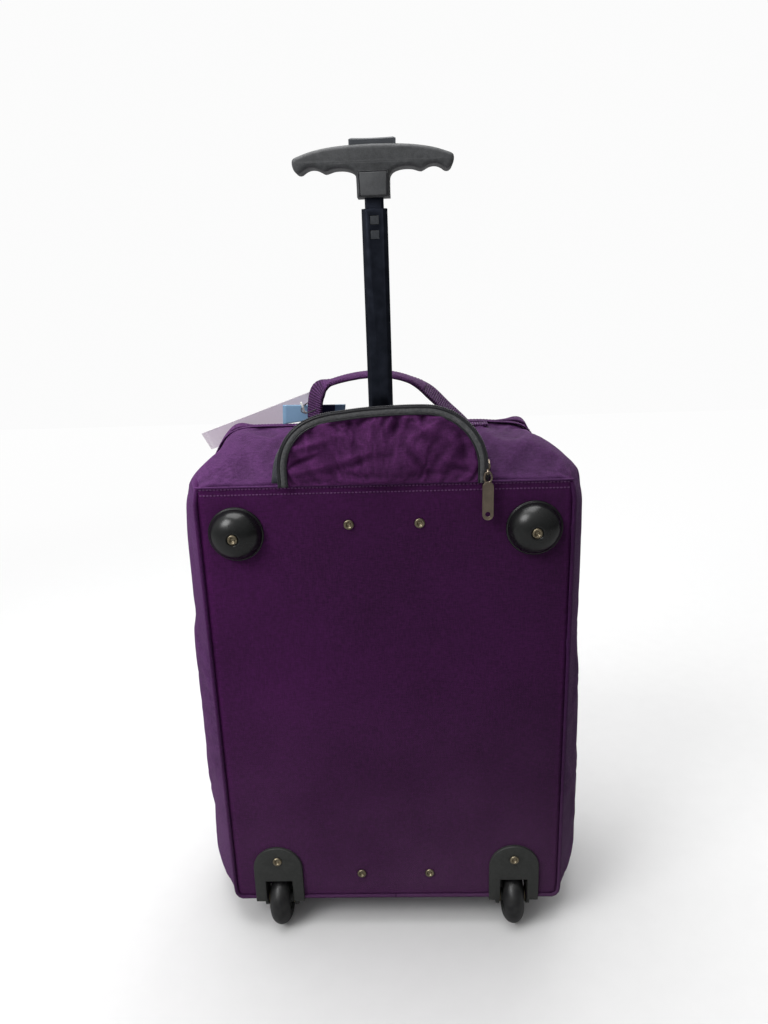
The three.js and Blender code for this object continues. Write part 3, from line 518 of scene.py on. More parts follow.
def resampled(points, step):
    """Points spaced evenly along a polyline, about step apart, ends kept."""
    pts = np.array(points, float)
    lengths = np.r_[0, np.cumsum(np.linalg.norm(np.diff(pts, axis=0), axis=1))]
    count = max(2, int(round(lengths[-1] / step)) + 1)
    at = np.linspace(0, lengths[-1], count)
    return np.stack([np.interp(at, lengths, pts[:, k]) for k in range(pts.shape[1])], axis=1)


def frames_along(points, normals):
    """Unit tangent, side and normal at each point of a path whose surface normals are given."""
    pts = np.array(points, float)
    tangent = np.gradient(pts, axis=0)
    tangent /= np.linalg.norm(tangent, axis=1, keepdims=True)
    normal = np.array(normals, float)
    side = np.cross(normal, tangent)
    side /= np.linalg.norm(side, axis=1, keepdims=True)
    normal = np.cross(tangent, side)
    return tangent, side, normal


def swept_part(points, normals, profile, closed=False, shape=None):
    """Sweeps a closed profile of [side, normal] pairs along a path. shape(i) scales the profile at point i."""
    pts = np.array(points, float)
    _, side, normal = frames_along(pts, normals)
    verts = []
    for i in range(len(pts)):
        scale = shape(i) if shape else 1.0
        verts += [tuple(pts[i] + side[i] * u * scale + normal[i] * v * scale) for u, v in profile]
    return verts, grid_faces(len(pts), len(profile), wrap=True) + tube_ends(len(pts), len(profile), closed)


def smooth_rows(rows, passes=3):
    """Softens the corners of a path, ends kept."""
    pts = np.array(rows, float)
    for _ in range(passes):
        pts[1:-1] = (pts[:-2] + 2 * pts[1:-1] + pts[2:]) / 4
    return pts


def smoothstep(x, a, b):
    """0 before a, 1 after b, and smooth between them."""
    t = min(1.0, max(0.0, (x - a) / (b - a)))
    return t * t * (3 - 2 * t)


def circle(radius, sides):
    return [(radius * math.cos(2 * math.pi * i / sides), radius * math.sin(2 * math.pi * i / sides))
            for i in range(sides)]


def oval(u, v, wide, high, sides):
    """A swept profile: an oval about u and v."""
    return [(u + a * wide, v + b * high) for a, b in circle(1, sides)]


def arc(x, z, radius, start, turn, count):
    """Points along an arc from one angle, in degrees, through a turn."""
    return [(x + radius * math.cos(math.radians(a)), z + radius * math.sin(math.radians(a)))
            for a in np.linspace(start, start + turn, count)]


def teeth_part(points, normals, offset, lift, radius=1.15, pitch=1.7):
    """One side of a coil zip: a rounded bead whose section swells and shrinks tooth by tooth."""
    pts, nrm = dense(points, normals, pitch / 4)
    _, side, normal = frames_along(pts, nrm)
    moved = pts + side * offset + normal * lift
    return swept_part(moved, nrm, circle(radius, 6), shape=lambda i: 0.72 + 0.28 * math.sin(i * math.pi / 2))


def dense(points, normals, step):
    """A path and its normals, respaced."""
    both = resampled(np.hstack([points, normals]), step)
    return both[:, :3], both[:, 3:]


STITCH, STITCH_GAP = 2.2, 1.0


def stitch_parts(points, normals, width=0.5, lift=0.3):
    """A row of stitches along a path on a surface."""
    pts, nrm = dense(points, normals, STITCH + STITCH_GAP)
    tangent, side, normal = frames_along(pts, nrm)
    parts = []
    for i in range(len(pts)):
        verts = []
        for share, grow in ((-0.5, 0.35), (-0.3, 1.0), (0.3, 1.0), (0.5, 0.35)):
            middle = pts[i] + tangent[i] * STITCH * share
            for k in range(6):
                a = math.pi * 2 * k / 6
                verts.append(tuple(middle + side[i] * width * grow * math.cos(a)
                                   + normal[i] * (lift * grow * math.sin(a) + 0.05)))
        faces = grid_faces(4, 6, wrap=True) + [tuple(range(6))[::-1], tuple(range(18, 24))]
        parts.append((verts, faces))
    return parts


# ------------------------------------------------------------------ the soft body's surface


def rise(u):
    """The back seam to zip profile: steep at first, level at the zip."""
    return 1 - (1 - min(max(u, 0.0), 1.0)) ** 2.5


def section(y):
    """The body's cross-section at depth y."""
    back = rise(y / ZIP_Y)
    front = max(0.0, (y - ZIP_Y) / (DEPTH - ZIP_Y))
    return {
        "half": BACK_HALF + (MID_HALF - BACK_HALF) * back - (MID_HALF - FRONT_HALF) * front ** 2.5,
        "top": SEAM_Z + (CREST_Z - SEAM_Z) * back - (CREST_Z - FRONT_TOP_Z) * front ** 1.3,
        "top_corner": 12 + 66 * back - 33 * front,
        "bottom_corner": max(4.0, 8 + 22 * back),
    }


def top_z(y):
    return section(y)["top"]


RING = {"bottom": 26, "low": 8, "side": 76, "high": 34, "top": 84}


def ring(y):
    """The outline at depth y as points, anticlockwise seen from the back, from the bottom's middle."""
    s = section(y)
    half, low_r, high_r = s["half"], s["bottom_corner"], s["top_corner"]
    out = []

    def line(a, b, steps):
        out.extend([(a[0] + (b[0] - a[0]) * i / steps, a[1] + (b[1] - a[1]) * i / steps) for i in range(steps)])

    def arc(x, z, r, start, steps):
        for i in range(steps):
            a = math.radians(start + 90 * i / steps)
            out.append((x + r * math.cos(a), z + r * math.sin(a)))

    line((0, BOTTOM_Z), (half - low_r, BOTTOM_Z), RING["bottom"])
    arc(half - low_r, BOTTOM_Z + low_r, low_r, -90, RING["low"])
    line((half, BOTTOM_Z + low_r), (half, s["top"] - high_r), RING["side"])
    arc(half - high_r, s["top"] - high_r, high_r, 0, RING["high"])
    line((half - high_r, s["top"]), (high_r - half, s["top"]), RING["top"])
    arc(high_r - half, s["top"] - high_r, high_r, 90, RING["high"])
    line((-half, s["top"] - high_r), (-half, BOTTOM_Z + low_r), RING["side"])
    arc(low_r - half, BOTTOM_Z + low_r, low_r, 180, RING["low"])
    line((low_r - half, BOTTOM_Z), (0, BOTTOM_Z), RING["bottom"])
    return out


RING_COUNT = len(ring(0))
TOP_RIGHT_CORNER = RING["bottom"] + RING["low"] + RING["side"] + RING["high"] // 2
TOP_LEFT_CORNER = TOP_RIGHT_CORNER + RING["high"] + RING["top"]
YS = list(np.linspace(0, 92, 31)) + list(np.linspace(92, DEPTH, 17))[1:]
ROWS = len(YS)


def bell(away, width, power=2):
    """1 where away is 0, falling off over a width."""
    return np.exp(-((away / width) ** power))


def unit(value):
    return np.clip(value, 0, 1)


DENTS = [
    # centre x and z, radius, depth, middle y, reach in y: where the shoulders drop away beside the stiffer crest
    (172.0, 506.0, 25.0, 20.0, 90.0, 32.0),
    (-176.0, 505.0, 24.0, 17.0, 66.0, 26.0),
    (-184.0, 498.0, 22.0, 9.0, 112.0, 24.0),
    (-199.0, 468.0, 26.0, 4.5, 80.0, 50.0),
    (198.0, 462.0, 26.0, 3.0, 90.0, 40.0),
]


def slump(points):
    """The soft body's sag: it leans to the left, lower down more so, its shoulders drop and its lid swells."""
    pts = np.array(points, float)
    x, y, z = pts.T.copy()
    deep = np.sin(math.pi * unit(y / DEPTH)) ** 0.7
    free = np.where(z > 465, unit((np.abs(x) - 95) / 45), 1.0)
    pts[:, 0] -= deep * free * (4.2 + 2.0 * unit((475 - z) / 400))
    pts[:, 0] += 4.5 * deep * unit(x / 100 - 0.5) * unit((330 - z) / 160)
    pts[:, 0] += 1.0 * deep * unit(-x / 100 - 1) * bell(z - 350, 130, 4)
    for cx, cz, radius, depth, cy, reach in DENTS:
        near = np.exp(-((x - cx) ** 2 + (z - cz) ** 2) / radius ** 2) * bell(y - cy, reach)
        pts[:, 0] -= math.copysign(0.75, cx) * depth * near
        pts[:, 2] -= 0.66 * depth * near
    top, crest = unit((z - 440) / 40) * bell(x, 165, 8), z > CREST_LOW_Z
    pts[:, 2] += 6.5 * top * bell(y - 112, 20)
    pts[:, 2] += 3.0 * top * bell(x + 125, 45) * bell(y - 58, 20)
    pts[:, 2] += 7.0 * bell(x + 146, 15) * bell(y - 106, 15) * crest
    pts[:, 2] += 7.0 * bell(x - 146, 19) * bell(y - 104, 20) * crest
    pts[:, 2] -= 4.5 * unit((x - 92) / 45) * bell(x - 130, 40, 4) * crest * bell(y - 76, 16)
    return pts


def zip_distance(y, z):
    """How far a point is inside the lid, in millimetres; below 0 on the case's side of the main zip."""
    a, b = y - ZIP_Y, z - TUB_Z
    if a < ZIP_BEND and b < ZIP_BEND:
        return ZIP_BEND - math.hypot(ZIP_BEND - a, ZIP_BEND - b)
    return min(a, b)


MOUTH = {"half": 89.0, "y": 60.0, "corner": 46.0}


def mouth_distance(x, y, z):
    """Below 0 inside the handle pocket's mouth, seen from above."""
    if z < 470 or y > ZIP_Y:
        return 50.0
    dx = abs(x) - (MOUTH["half"] - MOUTH["corner"])
    dy = y - (MOUTH["y"] - MOUTH["corner"])
    if dx > 0 and dy > 0:
        return math.hypot(dx, dy) - MOUTH["corner"]
    return max(dx, dy) - MOUTH["corner"]


def surface_normal(y, index):
    """The body's outward normal at a ring index, by differences."""
    here = ring(y)
    x0, z0 = here[index - 1]
    x1, z1 = here[(index + 1) % RING_COUNT]
    along = np.array([x1 - x0, 0, z1 - z0])
    back, front = ring(max(0, y - 2))[index], ring(min(DEPTH, y + 2))[index]
    deep = np.array([front[0] - back[0], min(DEPTH, y + 2) - max(0, y - 2), front[1] - back[1]])
    n = np.cross(deep, along)
    n /= np.linalg.norm(n)
    x, z = here[index]
    return n if n @ np.array([x, 0, z - CENTRE_Z]) > 0 else -n


def vertex_array(items, key="co"):
    """Vertices or normals of a mesh as an n by 3 array."""
    flat = np.zeros(len(items) * 3, np.float32)
    items.foreach_get(key, flat)
    return flat.reshape(-1, 3)


def settle(made, pins, pressure, frames, cap, shrink, stiffness, bending):
    """Runs cloth on a mesh and applies it. pins holds each vertex's pin weight; cap limits each move, in mm."""
    mesh = made.data
    before = vertex_array(mesh.vertices)
    group = made.vertex_groups.new(name="pins")
    for index, weight in enumerate(pins):
        if weight > 0:
            group.add([index], float(weight), "REPLACE")
    cloth = made.modifiers.new("cloth", "CLOTH")
    c = cloth.settings
    c.quality = 5
    c.mass = 0.25
    c.tension_stiffness = c.compression_stiffness = stiffness
    c.shear_stiffness = stiffness / 2
    c.bending_stiffness = bending
    c.vertex_group_mass = "pins"
    c.shrink_min = shrink
    c.use_pressure = pressure != 0
    c.uniform_pressure_force = pressure
    c.effector_weights.gravity = 0
    cloth.collision_settings.use_collision = False
    cloth.collision_settings.use_self_collision = False
    cloth.point_cache.frame_start, cloth.point_cache.frame_end = 1, frames
    scene = bpy.context.scene
    for f in range(1, frames + 1):
        scene.frame_set(f)
    posed = made.evaluated_get(bpy.context.evaluated_depsgraph_get())
    move = vertex_array(posed.data.vertices) - before
    made.modifiers.remove(cloth)
    made.vertex_groups.remove(group)
    scene.frame_set(1)
    length = np.linalg.norm(move, axis=1, keepdims=True)
    limit = cap * MM
    move *= np.where(length > 1e-9, limit * np.tanh(length / limit) / np.maximum(length, 1e-9), 0)
    mesh.vertices.foreach_set("co", (before + move).ravel())
    mesh.update()
    return made


def fold(co, normals, start, end, width, depth):
    """Presses a crease into points: a soft valley (depth above 0) or ridge (below 0) from start to end."""
    a, b = np.array(start, float), np.array(end, float)
    d = b - a
    t = unit(((co - a) @ d) / (d @ d))
    away = np.linalg.norm(co - (a + t[:, None] * d), axis=1)
    taper = np.sin(np.pi * unit(t * 0.9 + 0.05)) ** 0.7
    return co - normals * (depth * taper * bell(away, width))[:, None]


def cut_along(bm, layer, level):
    """Splits every face that a level of a vertex value crosses, along that level."""
    fresh = []
    for edge in list(bm.edges):
        a, b = edge.verts
        fa, fb = a[layer] - level, b[layer] - level
        if fa * fb < 0:
            share = fa / (fa - fb)
            _, new = bmesh.utils.edge_split(edge, a, share)
            new[layer] = level
            fresh.append(new)
    bmesh.ops.connect_verts(bm, verts=fresh)


def keep_faces(bm, layer, test):
    """Deletes the faces whose mean vertex value fails a test."""
    gone = [f for f in bm.faces if not test(sum(v[layer] for v in f.verts) / len(f.verts))]
    bmesh.ops.delete(bm, geom=gone, context="FACES")


# ------------------------------------------------------------------ body shells


def case_mm(point):
    """A frame point in metres, as case millimetres."""
    return point.x / MM, (point.y - BACK_Y) / MM, point.z / MM


WELL_HALF, WELL_DEEP, WELL_TOP = 16, 48, 60


def in_wheel_well(x, y, z):
    """Whether a point is where a wheel stands, so no fabric is there."""
    return abs(abs(x) - WHEEL_X) < WELL_HALF and y < WELL_DEEP and z < WELL_TOP


def body_sheet():
    """The whole gusset, from the back seam to the front seam, as one settled sheet."""
    verts = [(x, y, z) for y in YS for x, z in ring(y)]
    made = mesh_object("body_sheet", slump(verts), grid_faces(ROWS, RING_COUNT, wrap=True), "fabric")
    rest = np.array(verts)
    zips = np.array([zip_distance(y, z) for _, y, z in verts])
    pins = np.zeros(len(verts))
    pins[rest[:, 1] < 1] = 1
    pins[rest[:, 1] > DEPTH - 1] = 1
    pins[np.abs(zips) < 9] = 1
    mouth = np.array([mouth_distance(*v) for v in verts])
    pins[np.abs(mouth) < 9] = 1
    pins[rest[:, 2] < BOTTOM_Z + 1] = 0.9
    settle(made, pins, pressure=-0.25, frames=18, cap=2.4, shrink=-0.015, stiffness=14, bending=0.6)
    return made, rest, zips, mouth


CREASES = [
    # start, end, width, depth: valleys above 0 and ridges below 0
    ((158, 78, 516), (138, 56, 514), 4.5, 6.0),
    ((150, 64, 518), (118, 30, 502), 4.5, 6.5),
    ((164, 62, 506), (122, 26, 499), 5.0, -4.5),
    ((168, 44, 498), (118, 12, 490), 4.5, 4.0),
    ((126, 70, 524), (112, 44, 514), 4.0, 4.0),
    ((110, 64, 524), (103, 22, 503), 4.0, 4.5),
    ((119, 52, 518), (112, 14, 496), 3.6, -2.6),
    ((176, 40, 482), (172, 20, 430), 9, 3.0),
    ((-158, 66, 512), (-122, 22, 496), 5, 4.5),
    ((-146, 60, 516), (-118, 36, 508), 4, -3.0),
    ((-140, 48, 510), (-152, 14, 492), 4.5, 3.4),
    ((-112, 60, 524), (-104, 14, 500), 4.5, 5.0),
    ((-120, 54, 520), (-113, 20, 503), 3.6, -3.0),
    ((-128, 66, 522), (-132, 40, 512), 3.6, 3.4),
    ((-100, 76, 527), (-128, 72, 526), 4.0, 2.4),
    ((-162, 30, 494), (-128, 16, 494), 4.0, 2.6),
    ((-186, 40, 450), (-178, 25, 400), 10, 3.0),
    ((186, 120, 440), (190, 70, 470), 10, 4.0),
    ((-186, 120, 440), (-190, 70, 470), 10, 4.0),
    ((196, 52, 330), (197, 44, 180), 14, 1.6),
    ((-196, 56, 300), (-197, 46, 170), 14, 1.6),
    ((-185, 30, 360), (-192, 60, 330), 8, 2.5),
    ((150, 130, 505), (60, 120, 515), 9, 3.0),
    ((-150, 130, 505), (-40, 125, 515), 9, 3.0),
]


def body_shells():
    """Cuts the settled sheet into the case's fabric and the lid's fabric, and opens the pocket's mouth."""
    sheet, rest, zips, mouth = body_sheet()
    co = vertex_array(sheet.data.vertices) / MM
    co[:, 1] -= BACK_Y / MM
    normals = vertex_array(sheet.data.vertex_normals, "vector").astype(float)
    if ((normals * (rest - np.array([0, ZIP_Y, CENTRE_Z]))).sum(1)).mean() < 0:
        normals = -normals
    folded = co.astype(float)
    for start, end, width, depth in CREASES:
        folded = fold(folded, normals, start, end, width, depth)
    seams = np.minimum(unit(rest[:, 1] / 6), unit((DEPTH - rest[:, 1]) / 6))
    held = np.minimum(seams, unit((np.abs(zips) - 5) / 8))
    folded = co + (folded - co) * held[:, None]

    def shell(name, level, sign):
        bm = bmesh.new()
        zip_layer = bm.verts.layers.float.new("zip")
        mouth_layer = bm.verts.layers.float.new("mouth")
        vs = [bm.verts.new(P(*p)) for p in folded]
        for v, a, b in zip(vs, zips, mouth):
            v[zip_layer], v[mouth_layer] = a, b
        for face in grid_faces(ROWS, RING_COUNT, wrap=True, flip=True):
            bm.faces.new([vs[i] for i in face])
        cut_along(bm, zip_layer, level)
        keep_faces(bm, zip_layer, lambda value: sign * (value - level) > 0)
        if sign < 0:
            cut_along(bm, mouth_layer, 0)
            keep_faces(bm, mouth_layer, lambda value: value > 0)
            wells = [f for f in bm.faces if in_wheel_well(*case_mm(f.calc_center_median()))]
            bmesh.ops.delete(bm, geom=wells, context="FACES")
        bmesh.ops.delete(bm, geom=[v for v in bm.verts if not v.link_faces], context="VERTS")
        bmesh.ops.recalc_face_normals(bm, faces=bm.faces)
        probe = max(bm.faces, key=lambda f: f.calc_center_median().x)
        if probe.normal.x < 0:
            bmesh.ops.reverse_faces(bm, faces=bm.faces)
        made = mesh_object(name, [], [], ("fabric", "lining"))
        bm.to_mesh(made.data)
        bm.free()
        shade_smooth(made.data)
        return thicken(made, FABRIC, inner_slot=True)

    case_shell = finish_piece(shell("case_fabric", -ZIP_EDGE, -1), "case", "body_fabric", "bag_base")
    lid_shell = finish_piece(shell("lid_gusset_fabric", ZIP_EDGE, 1), "lid", "body_fabric", "lid_shell")
    bpy.data.objects.remove(sheet)
    return case_shell, lid_shell


def zip_path():
    """The main zip's middle line with its outward normals, from the front right, over the top, to the front left."""
    points, normals = [], []

    def side_point(y, z, sign):
        half = section(y)["half"]
        slope = (section(min(DEPTH, y + 2))["half"] - section(y - 2)["half"]) / 4
        n = np.array([1.0, -slope, 0.0])
        n /= np.linalg.norm(n)
        points.append((sign * half, y, z))
        normals.append((sign * n[0], n[1], 0.0))

    forward = [(y, TUB_Z) for y in np.arange(165, ZIP_Y + ZIP_BEND, -5)]
    bend = [(ZIP_Y + ZIP_BEND - ZIP_BEND * math.sin(a), TUB_Z + ZIP_BEND - ZIP_BEND * math.cos(a))
            for a in np.linspace(0, math.pi / 2, 8)]
    for y, z in forward + bend:
        side_point(y, z, 1)
    outline = ring(ZIP_Y)
    for index, (x, z) in enumerate(outline):
        if z > TUB_Z + ZIP_BEND + 3:
            points.append((x, ZIP_Y, z))
            normals.append(tuple(surface_normal(ZIP_Y, index)))
    for y, z in (forward + bend)[::-1]:
        side_point(y, z, -1)
    return smooth_rows(slump(points), 2), np.array(normals)


def zip_rows(step):
    """The main zip's path at even steps, its frames, and the halves: name, body and side sign."""
    points, normals = dense(*zip_path(), step)
    _, side, normal = frames_along(points, normals)
    lid_side = 1 if side[int(np.argmax(points[:, 2]))][1] > 0 else -1
    return points, normals, side, normal, (("case", -lid_side, "back"), ("lid", lid_side, "front"))


def main_zip():
    """Both halves of the main zip: a woven tape under each fabric edge, and a line of teeth."""
    points, normals, _, _, halves = zip_rows(4)
    for body, sign, end in halves:
        lo, hi = sorted((sign * 0.5, sign * (ZIP_EDGE + 3)))
        tape = swept_part(points, normals, [(lo, -2.2), (hi, -2.2), (hi, -1.5), (lo, -1.5)])
        name = f"main_zip_{body}_half"
        piece(name, [tape], "zip_tape", body, "purple_tape", f"main_zip_tape_{end}")
        piece(name + "_teeth", [teeth_part(points, normals, sign * 1.1, -0.9)], "teeth", body, "purple_tape")


def fabric_edges():
    """Folded, stitched edges of fabric along both sides of the main zip."""
    points, normals, side, normal, halves = zip_rows(5)
    for body, sign, _ in halves:
        name = f"zip_hem_{body}"
        hem = [(u + sign * 2.6, v) for u, v in oval(sign * ZIP_EDGE, -0.4, 3.2, 0.9, 10)]
        piece(name, [swept_part(points, normals, hem)], "fabric", body, "body_fabric")
        row = points + side * sign * (ZIP_EDGE + 2.0) + normal * 0.45
        piece(name + "_stitches", stitch_parts(row, normals), "thread", body, "body_fabric")


# ------------------------------------------------------------------ back panel and its seams

PANEL = {"half": 169.0, "bottom": 37.6, "top": 490.0, "corner": 7.0}


def panel_inside(x, z):
    """Below 0 inside the back panel's outline."""
    half, corner = PANEL["half"], PANEL["corner"]
    if z < PANEL["bottom"] + corner and abs(x) > half - corner:
        return math.hypot(abs(x) - half + corner, PANEL["bottom"] + corner - z) - corner
    return max(abs(x) - half, PANEL["bottom"] - z, z - PANEL["top"])


def panel_height(x, z):
    """How far the panel's fabric stands off its board, with puckers at seams and round fittings."""
    edge = -panel_inside(x, z)
    lift = 0.9 * (1 - bell(max(edge, 0), 5.0, 1))
    for rx, _, rz in BRACKET_RIVETS.values():
        lift -= 0.8 * math.exp(-(((x - rx) ** 2 + (z - rz) ** 2) / 90.0))
    for sign in (-1, 1):
        lift -= 0.6 * bell(max(0, math.hypot(x - sign * DOME_X, z - DOME_Z) - DOME_R), 6.0)
    ripple = noise.noise(Vector((x * 0.013, 3.1, z * 0.011))) * 1.1
    ripple += noise.noise(Vector((x * 0.045, 7.7, z * 0.03))) * 0.25
    lift -= 0.8 * bell(PANEL["top"] - 5.4 - z, 3.2)
    soft = min(1.0, max(edge, 0) / 18)
    return lift + ripple * soft


def back_panel():
    """The stiff panel's fabric, turned over its top edge in a lapped, twice-stitched seam."""
    half, step = PANEL["half"], 4.0
    xs = np.linspace(-half, half, int(2 * half / step) + 1)
    zs = np.linspace(PANEL["bottom"], PANEL["top"], int((PANEL["top"] - PANEL["bottom"]) / step) + 1)
    verts = []
    for z in zs:
        for x in xs:
            corner_x, corner_z = x, z
            if panel_inside(x, z) > 0:
                cx = math.copysign(half - PANEL["corner"], x)
                cz = PANEL["bottom"] + PANEL["corner"]
                r = math.hypot(x - cx, z - cz)
                corner_x = cx + (x - cx) * PANEL["corner"] / r
                corner_z = cz + (z - cz) * PANEL["corner"] / r
            verts.append((corner_x, -panel_height(corner_x, corner_z), corner_z))
    faces = [f for f in grid_faces(len(zs), len(xs))
             if not in_wheel_well(sum(verts[i][0] for i in f) / 4, 0, sum(verts[i][2] for i in f) / 4)]
    made = mesh_object("back_panel_fabric", verts, faces, "panel")
    thicken(made, 1.1)
    finish_piece(made, "case", "panel_fabric", "back_panel")
    lap = [(-0.9, -0.2), (0.9, -0.2), (1.0, 0.5), (0.5, 1.1), (-0.5, 1.1), (-1.0, 0.5)]
    path = [(x, -0.7, PANEL["top"] - 0.6) for x in np.linspace(-half - 0.5, half + 0.5, 60)]
    piece("back_panel_hem", [swept_part(path, [BACKWARD] * 60, lap)], "fabric", "case", "panel_fabric")
    rows = []
    for z in (PANEL["top"] - 2.8, PANEL["top"] - 8.0):
        path = [(x, -panel_height(x, z) - 0.15, z) for x in np.linspace(-half + 4, half - 4, 90)]
        rows += stitch_parts(path, [BACKWARD] * 90, width=0.62, lift=0.4)
    piece("back_panel_stitches", rows, "thread", "case", "panel_fabric")


CORD = circle(1.9, 10)


def side_piping(side, sign):
    """The covered cord along the panel's side, from under the panel up over the body's shoulder."""
    corner = TOP_RIGHT_CORNER if sign > 0 else TOP_LEFT_CORNER
    down = (0, -0.7, -0.7)
    under = [(sign * x, -1.0, BOTTOM_Z) for x in np.linspace(-0.5, WHEEL_X - WELL_HALF - 0.5, 24)]
    path = [(sign * x, -1.0, BOTTOM_Z) for x in np.linspace(WHEEL_X + WELL_HALF + 0.5, BACK_HALF - 8, 8)]
    out = [down] * len(path)
    for a in np.linspace(0.15, math.pi / 2, 8):
        path.append((sign * (BACK_HALF - 8 + 8.6 * math.sin(a)), -1.2, BOTTOM_Z + 8 - 8.6 * math.cos(a)))
        out.append((sign * math.sin(a), -0.7, -math.cos(a)))
    for z in np.linspace(52, SEAM_Z - 8, 60):
        path.append((sign * (BACK_HALF + 0.8), -1.2, z))
        out.append((sign, -0.7, 0))
    for y in np.linspace(0, 26, 8):
        x, z = ring(y)[corner]
        n = surface_normal(y, corner)
        sunk = 0.4 - 2.6 * smoothstep(y, 8, 26)
        path.append(tuple(slump([(x + n[0] * sunk, y + n[1] * sunk, z + n[2] * sunk)])[0]))
        out.append(tuple(n))
    path, out = dense(smooth_rows(path), smooth_rows(out), 4)
    parts = [swept_part(under, [down] * len(under), CORD), swept_part(path, out, CORD)]
    piece(f"side_piping_{side}", parts, "piping", "case", "body_fabric", f"back_piping_{side}")


# ------------------------------------------------------------------ lid front and pockets


def front_panel():
    """The soft front of the case: one sheet across the lid's hinge line, with piping round it."""
    outline = ring(DEPTH)
    centre = np.array([0.0, (BOTTOM_Z + FRONT_TOP_Z) / 2])
    rows = 26
    verts = []
    for r in range(rows):
        share = 1 - r / rows
        for x, z in outline:
            px, pz = centre + (np.array([x, z]) - centre) * share
            bulge = 1 - share ** 6
            wrinkle = noise.noise(Vector((px * 0.02, 1.0, pz * 0.02))) * 0.5 * bulge
            verts.append((px, DEPTH + 0.3 + bulge + wrinkle, pz))
    faces = grid_faces(rows, RING_COUNT, wrap=True) + fan((rows - 1) * RING_COUNT, RING_COUNT, len(verts))
    verts.append((0, DEPTH + 1.3, centre[1]))
    made = mesh_object("front_panel_fabric", verts, faces, ("fabric", "lining"))
    bm = bmesh.new()
    bm.from_mesh(made.data)
    bmesh.ops.recalc_face_normals(bm, faces=bm.faces)
    if sum(f.normal.y for f in bm.faces) < 0:
        bmesh.ops.reverse_faces(bm, faces=bm.faces)
    bm.to_mesh(made.data)
    bm.free()
    thicken(made, FABRIC, inner_slot=True)
    fold_line = ("case", "lid"), (0, DEPTH, TUB_Z - 6), (0, DEPTH, TUB_Z + 6), "body_fabric"
    crossing_piece(made, *fold_line)
    outline = outline + outline[:1]
    pts = np.array([(x, DEPTH + 0.6, z) for x, z in outline])
    out = np.array([(math.copysign(0.7, x) if abs(x) > 120 else 0, 0.7,
                     math.copysign(0.7, z - centre[1]) if abs(z - centre[1]) > 150 else 0) for x, z in outline])
    pts, out = dense(pts, out, 4)
    piping = swept_part(pts[:-1], out[:-1], CORD, closed=True)
    crossing_piece(joined_mesh("front_piping", [piping], "piping"), *fold_line)


POCKETS = {
    "lower": {"half": 142.0, "z0": 128.0, "z1": 330.0, "corner": 26.0},
    "upper": {"half": 118.0, "z0": 350.0, "z1": 440.0, "corner": 26.0},
}
POCKET_DEEP = 16.0
POCKET_ZIP_DROP = 14.0


def rounded_rect(half, z0, z1, corner):
    """A closed rounded rectangle in x and z as evenly spaced points."""
    pts = []
    for x, z, start in ((half - corner, z0 + corner, -90), (half - corner, z1 - corner, 0),
                        (corner - half, z1 - corner, 90), (corner - half, z0 + corner, 180)):
        pts += arc(x, z, corner, start, 90, 10)
    return resampled(pts + pts[:1], 6.0)[:-1]


def pocket_pad(name, half, z0, z1, corner):
    """A padded pocket: a boxed edge and a soft face that swells between its seams."""
    outline = rounded_rect(half, z0, z1, corner)
    count = len(outline)
    centre = np.array([0.0, (z0 + z1) / 2])
    zip_z = z1 - POCKET_ZIP_DROP
    verts = []
    depths = [0.4, 4.0, 8.0, POCKET_DEEP - 3.5, POCKET_DEEP - 1.0]
    for depth in depths:
        pull = 1.2 * math.sin(math.pi * depth / POCKET_DEEP)
        for x, z in outline:
            d = np.array([x, z]) - centre
            p = centre + d * (1 - pull / np.linalg.norm(d))
            verts.append((p[0], DEPTH + depth, p[1]))
    rings = 16
    for r in range(1, rings + 1):
        share = 1 - r / (rings + 1)
        for x, z in outline:
            px, pz = centre + (np.array([x, z]) - centre) * share
            verts.append((px, DEPTH + POCKET_DEEP, pz))
    rows = len(depths) + rings
    faces = grid_faces(rows, count, wrap=True) + fan((rows - 1) * count, count, len(verts))
    faces.append(tuple(range(count)))
    verts.append((centre[0], DEPTH + POCKET_DEEP, centre[1]))
    made = outward(mesh_object(f"{name}_pocket_pad", verts, faces, "fabric"))
    rest = np.array(verts)
    pins = np.zeros(len(verts))
    pins[rest[:, 1] < DEPTH + 5] = 1
    edge = len(depths) * count
    pins[edge - count:edge] = 0.75
    near_zip = np.abs(rest[:, 2] - zip_z) < 7
    pins[near_zip & (rest[:, 1] > DEPTH + POCKET_DEEP - 2)] = 0.97
    settle(made, pins, pressure=2.2, frames=16, cap=4.5, shrink=-0.03, stiffness=12, bending=0.2)
    finer(made)
    finish_piece(made, "lid", "body_fabric", f"{name}_pocket")
    pipe = [(x, DEPTH + POCKET_DEEP - 0.6, z) for x, z in outline]
    out = [(x / half, 0.8, (z - centre[1]) / (z1 - z0)) for x, z in outline]
    pipe = swept_part(pipe, out, circle(1.7, 8), closed=True)
    piece(f"{name}_pocket_piping", [pipe], "piping", "lid", "body_fabric")
    pocket_zip(name, half, zip_z)


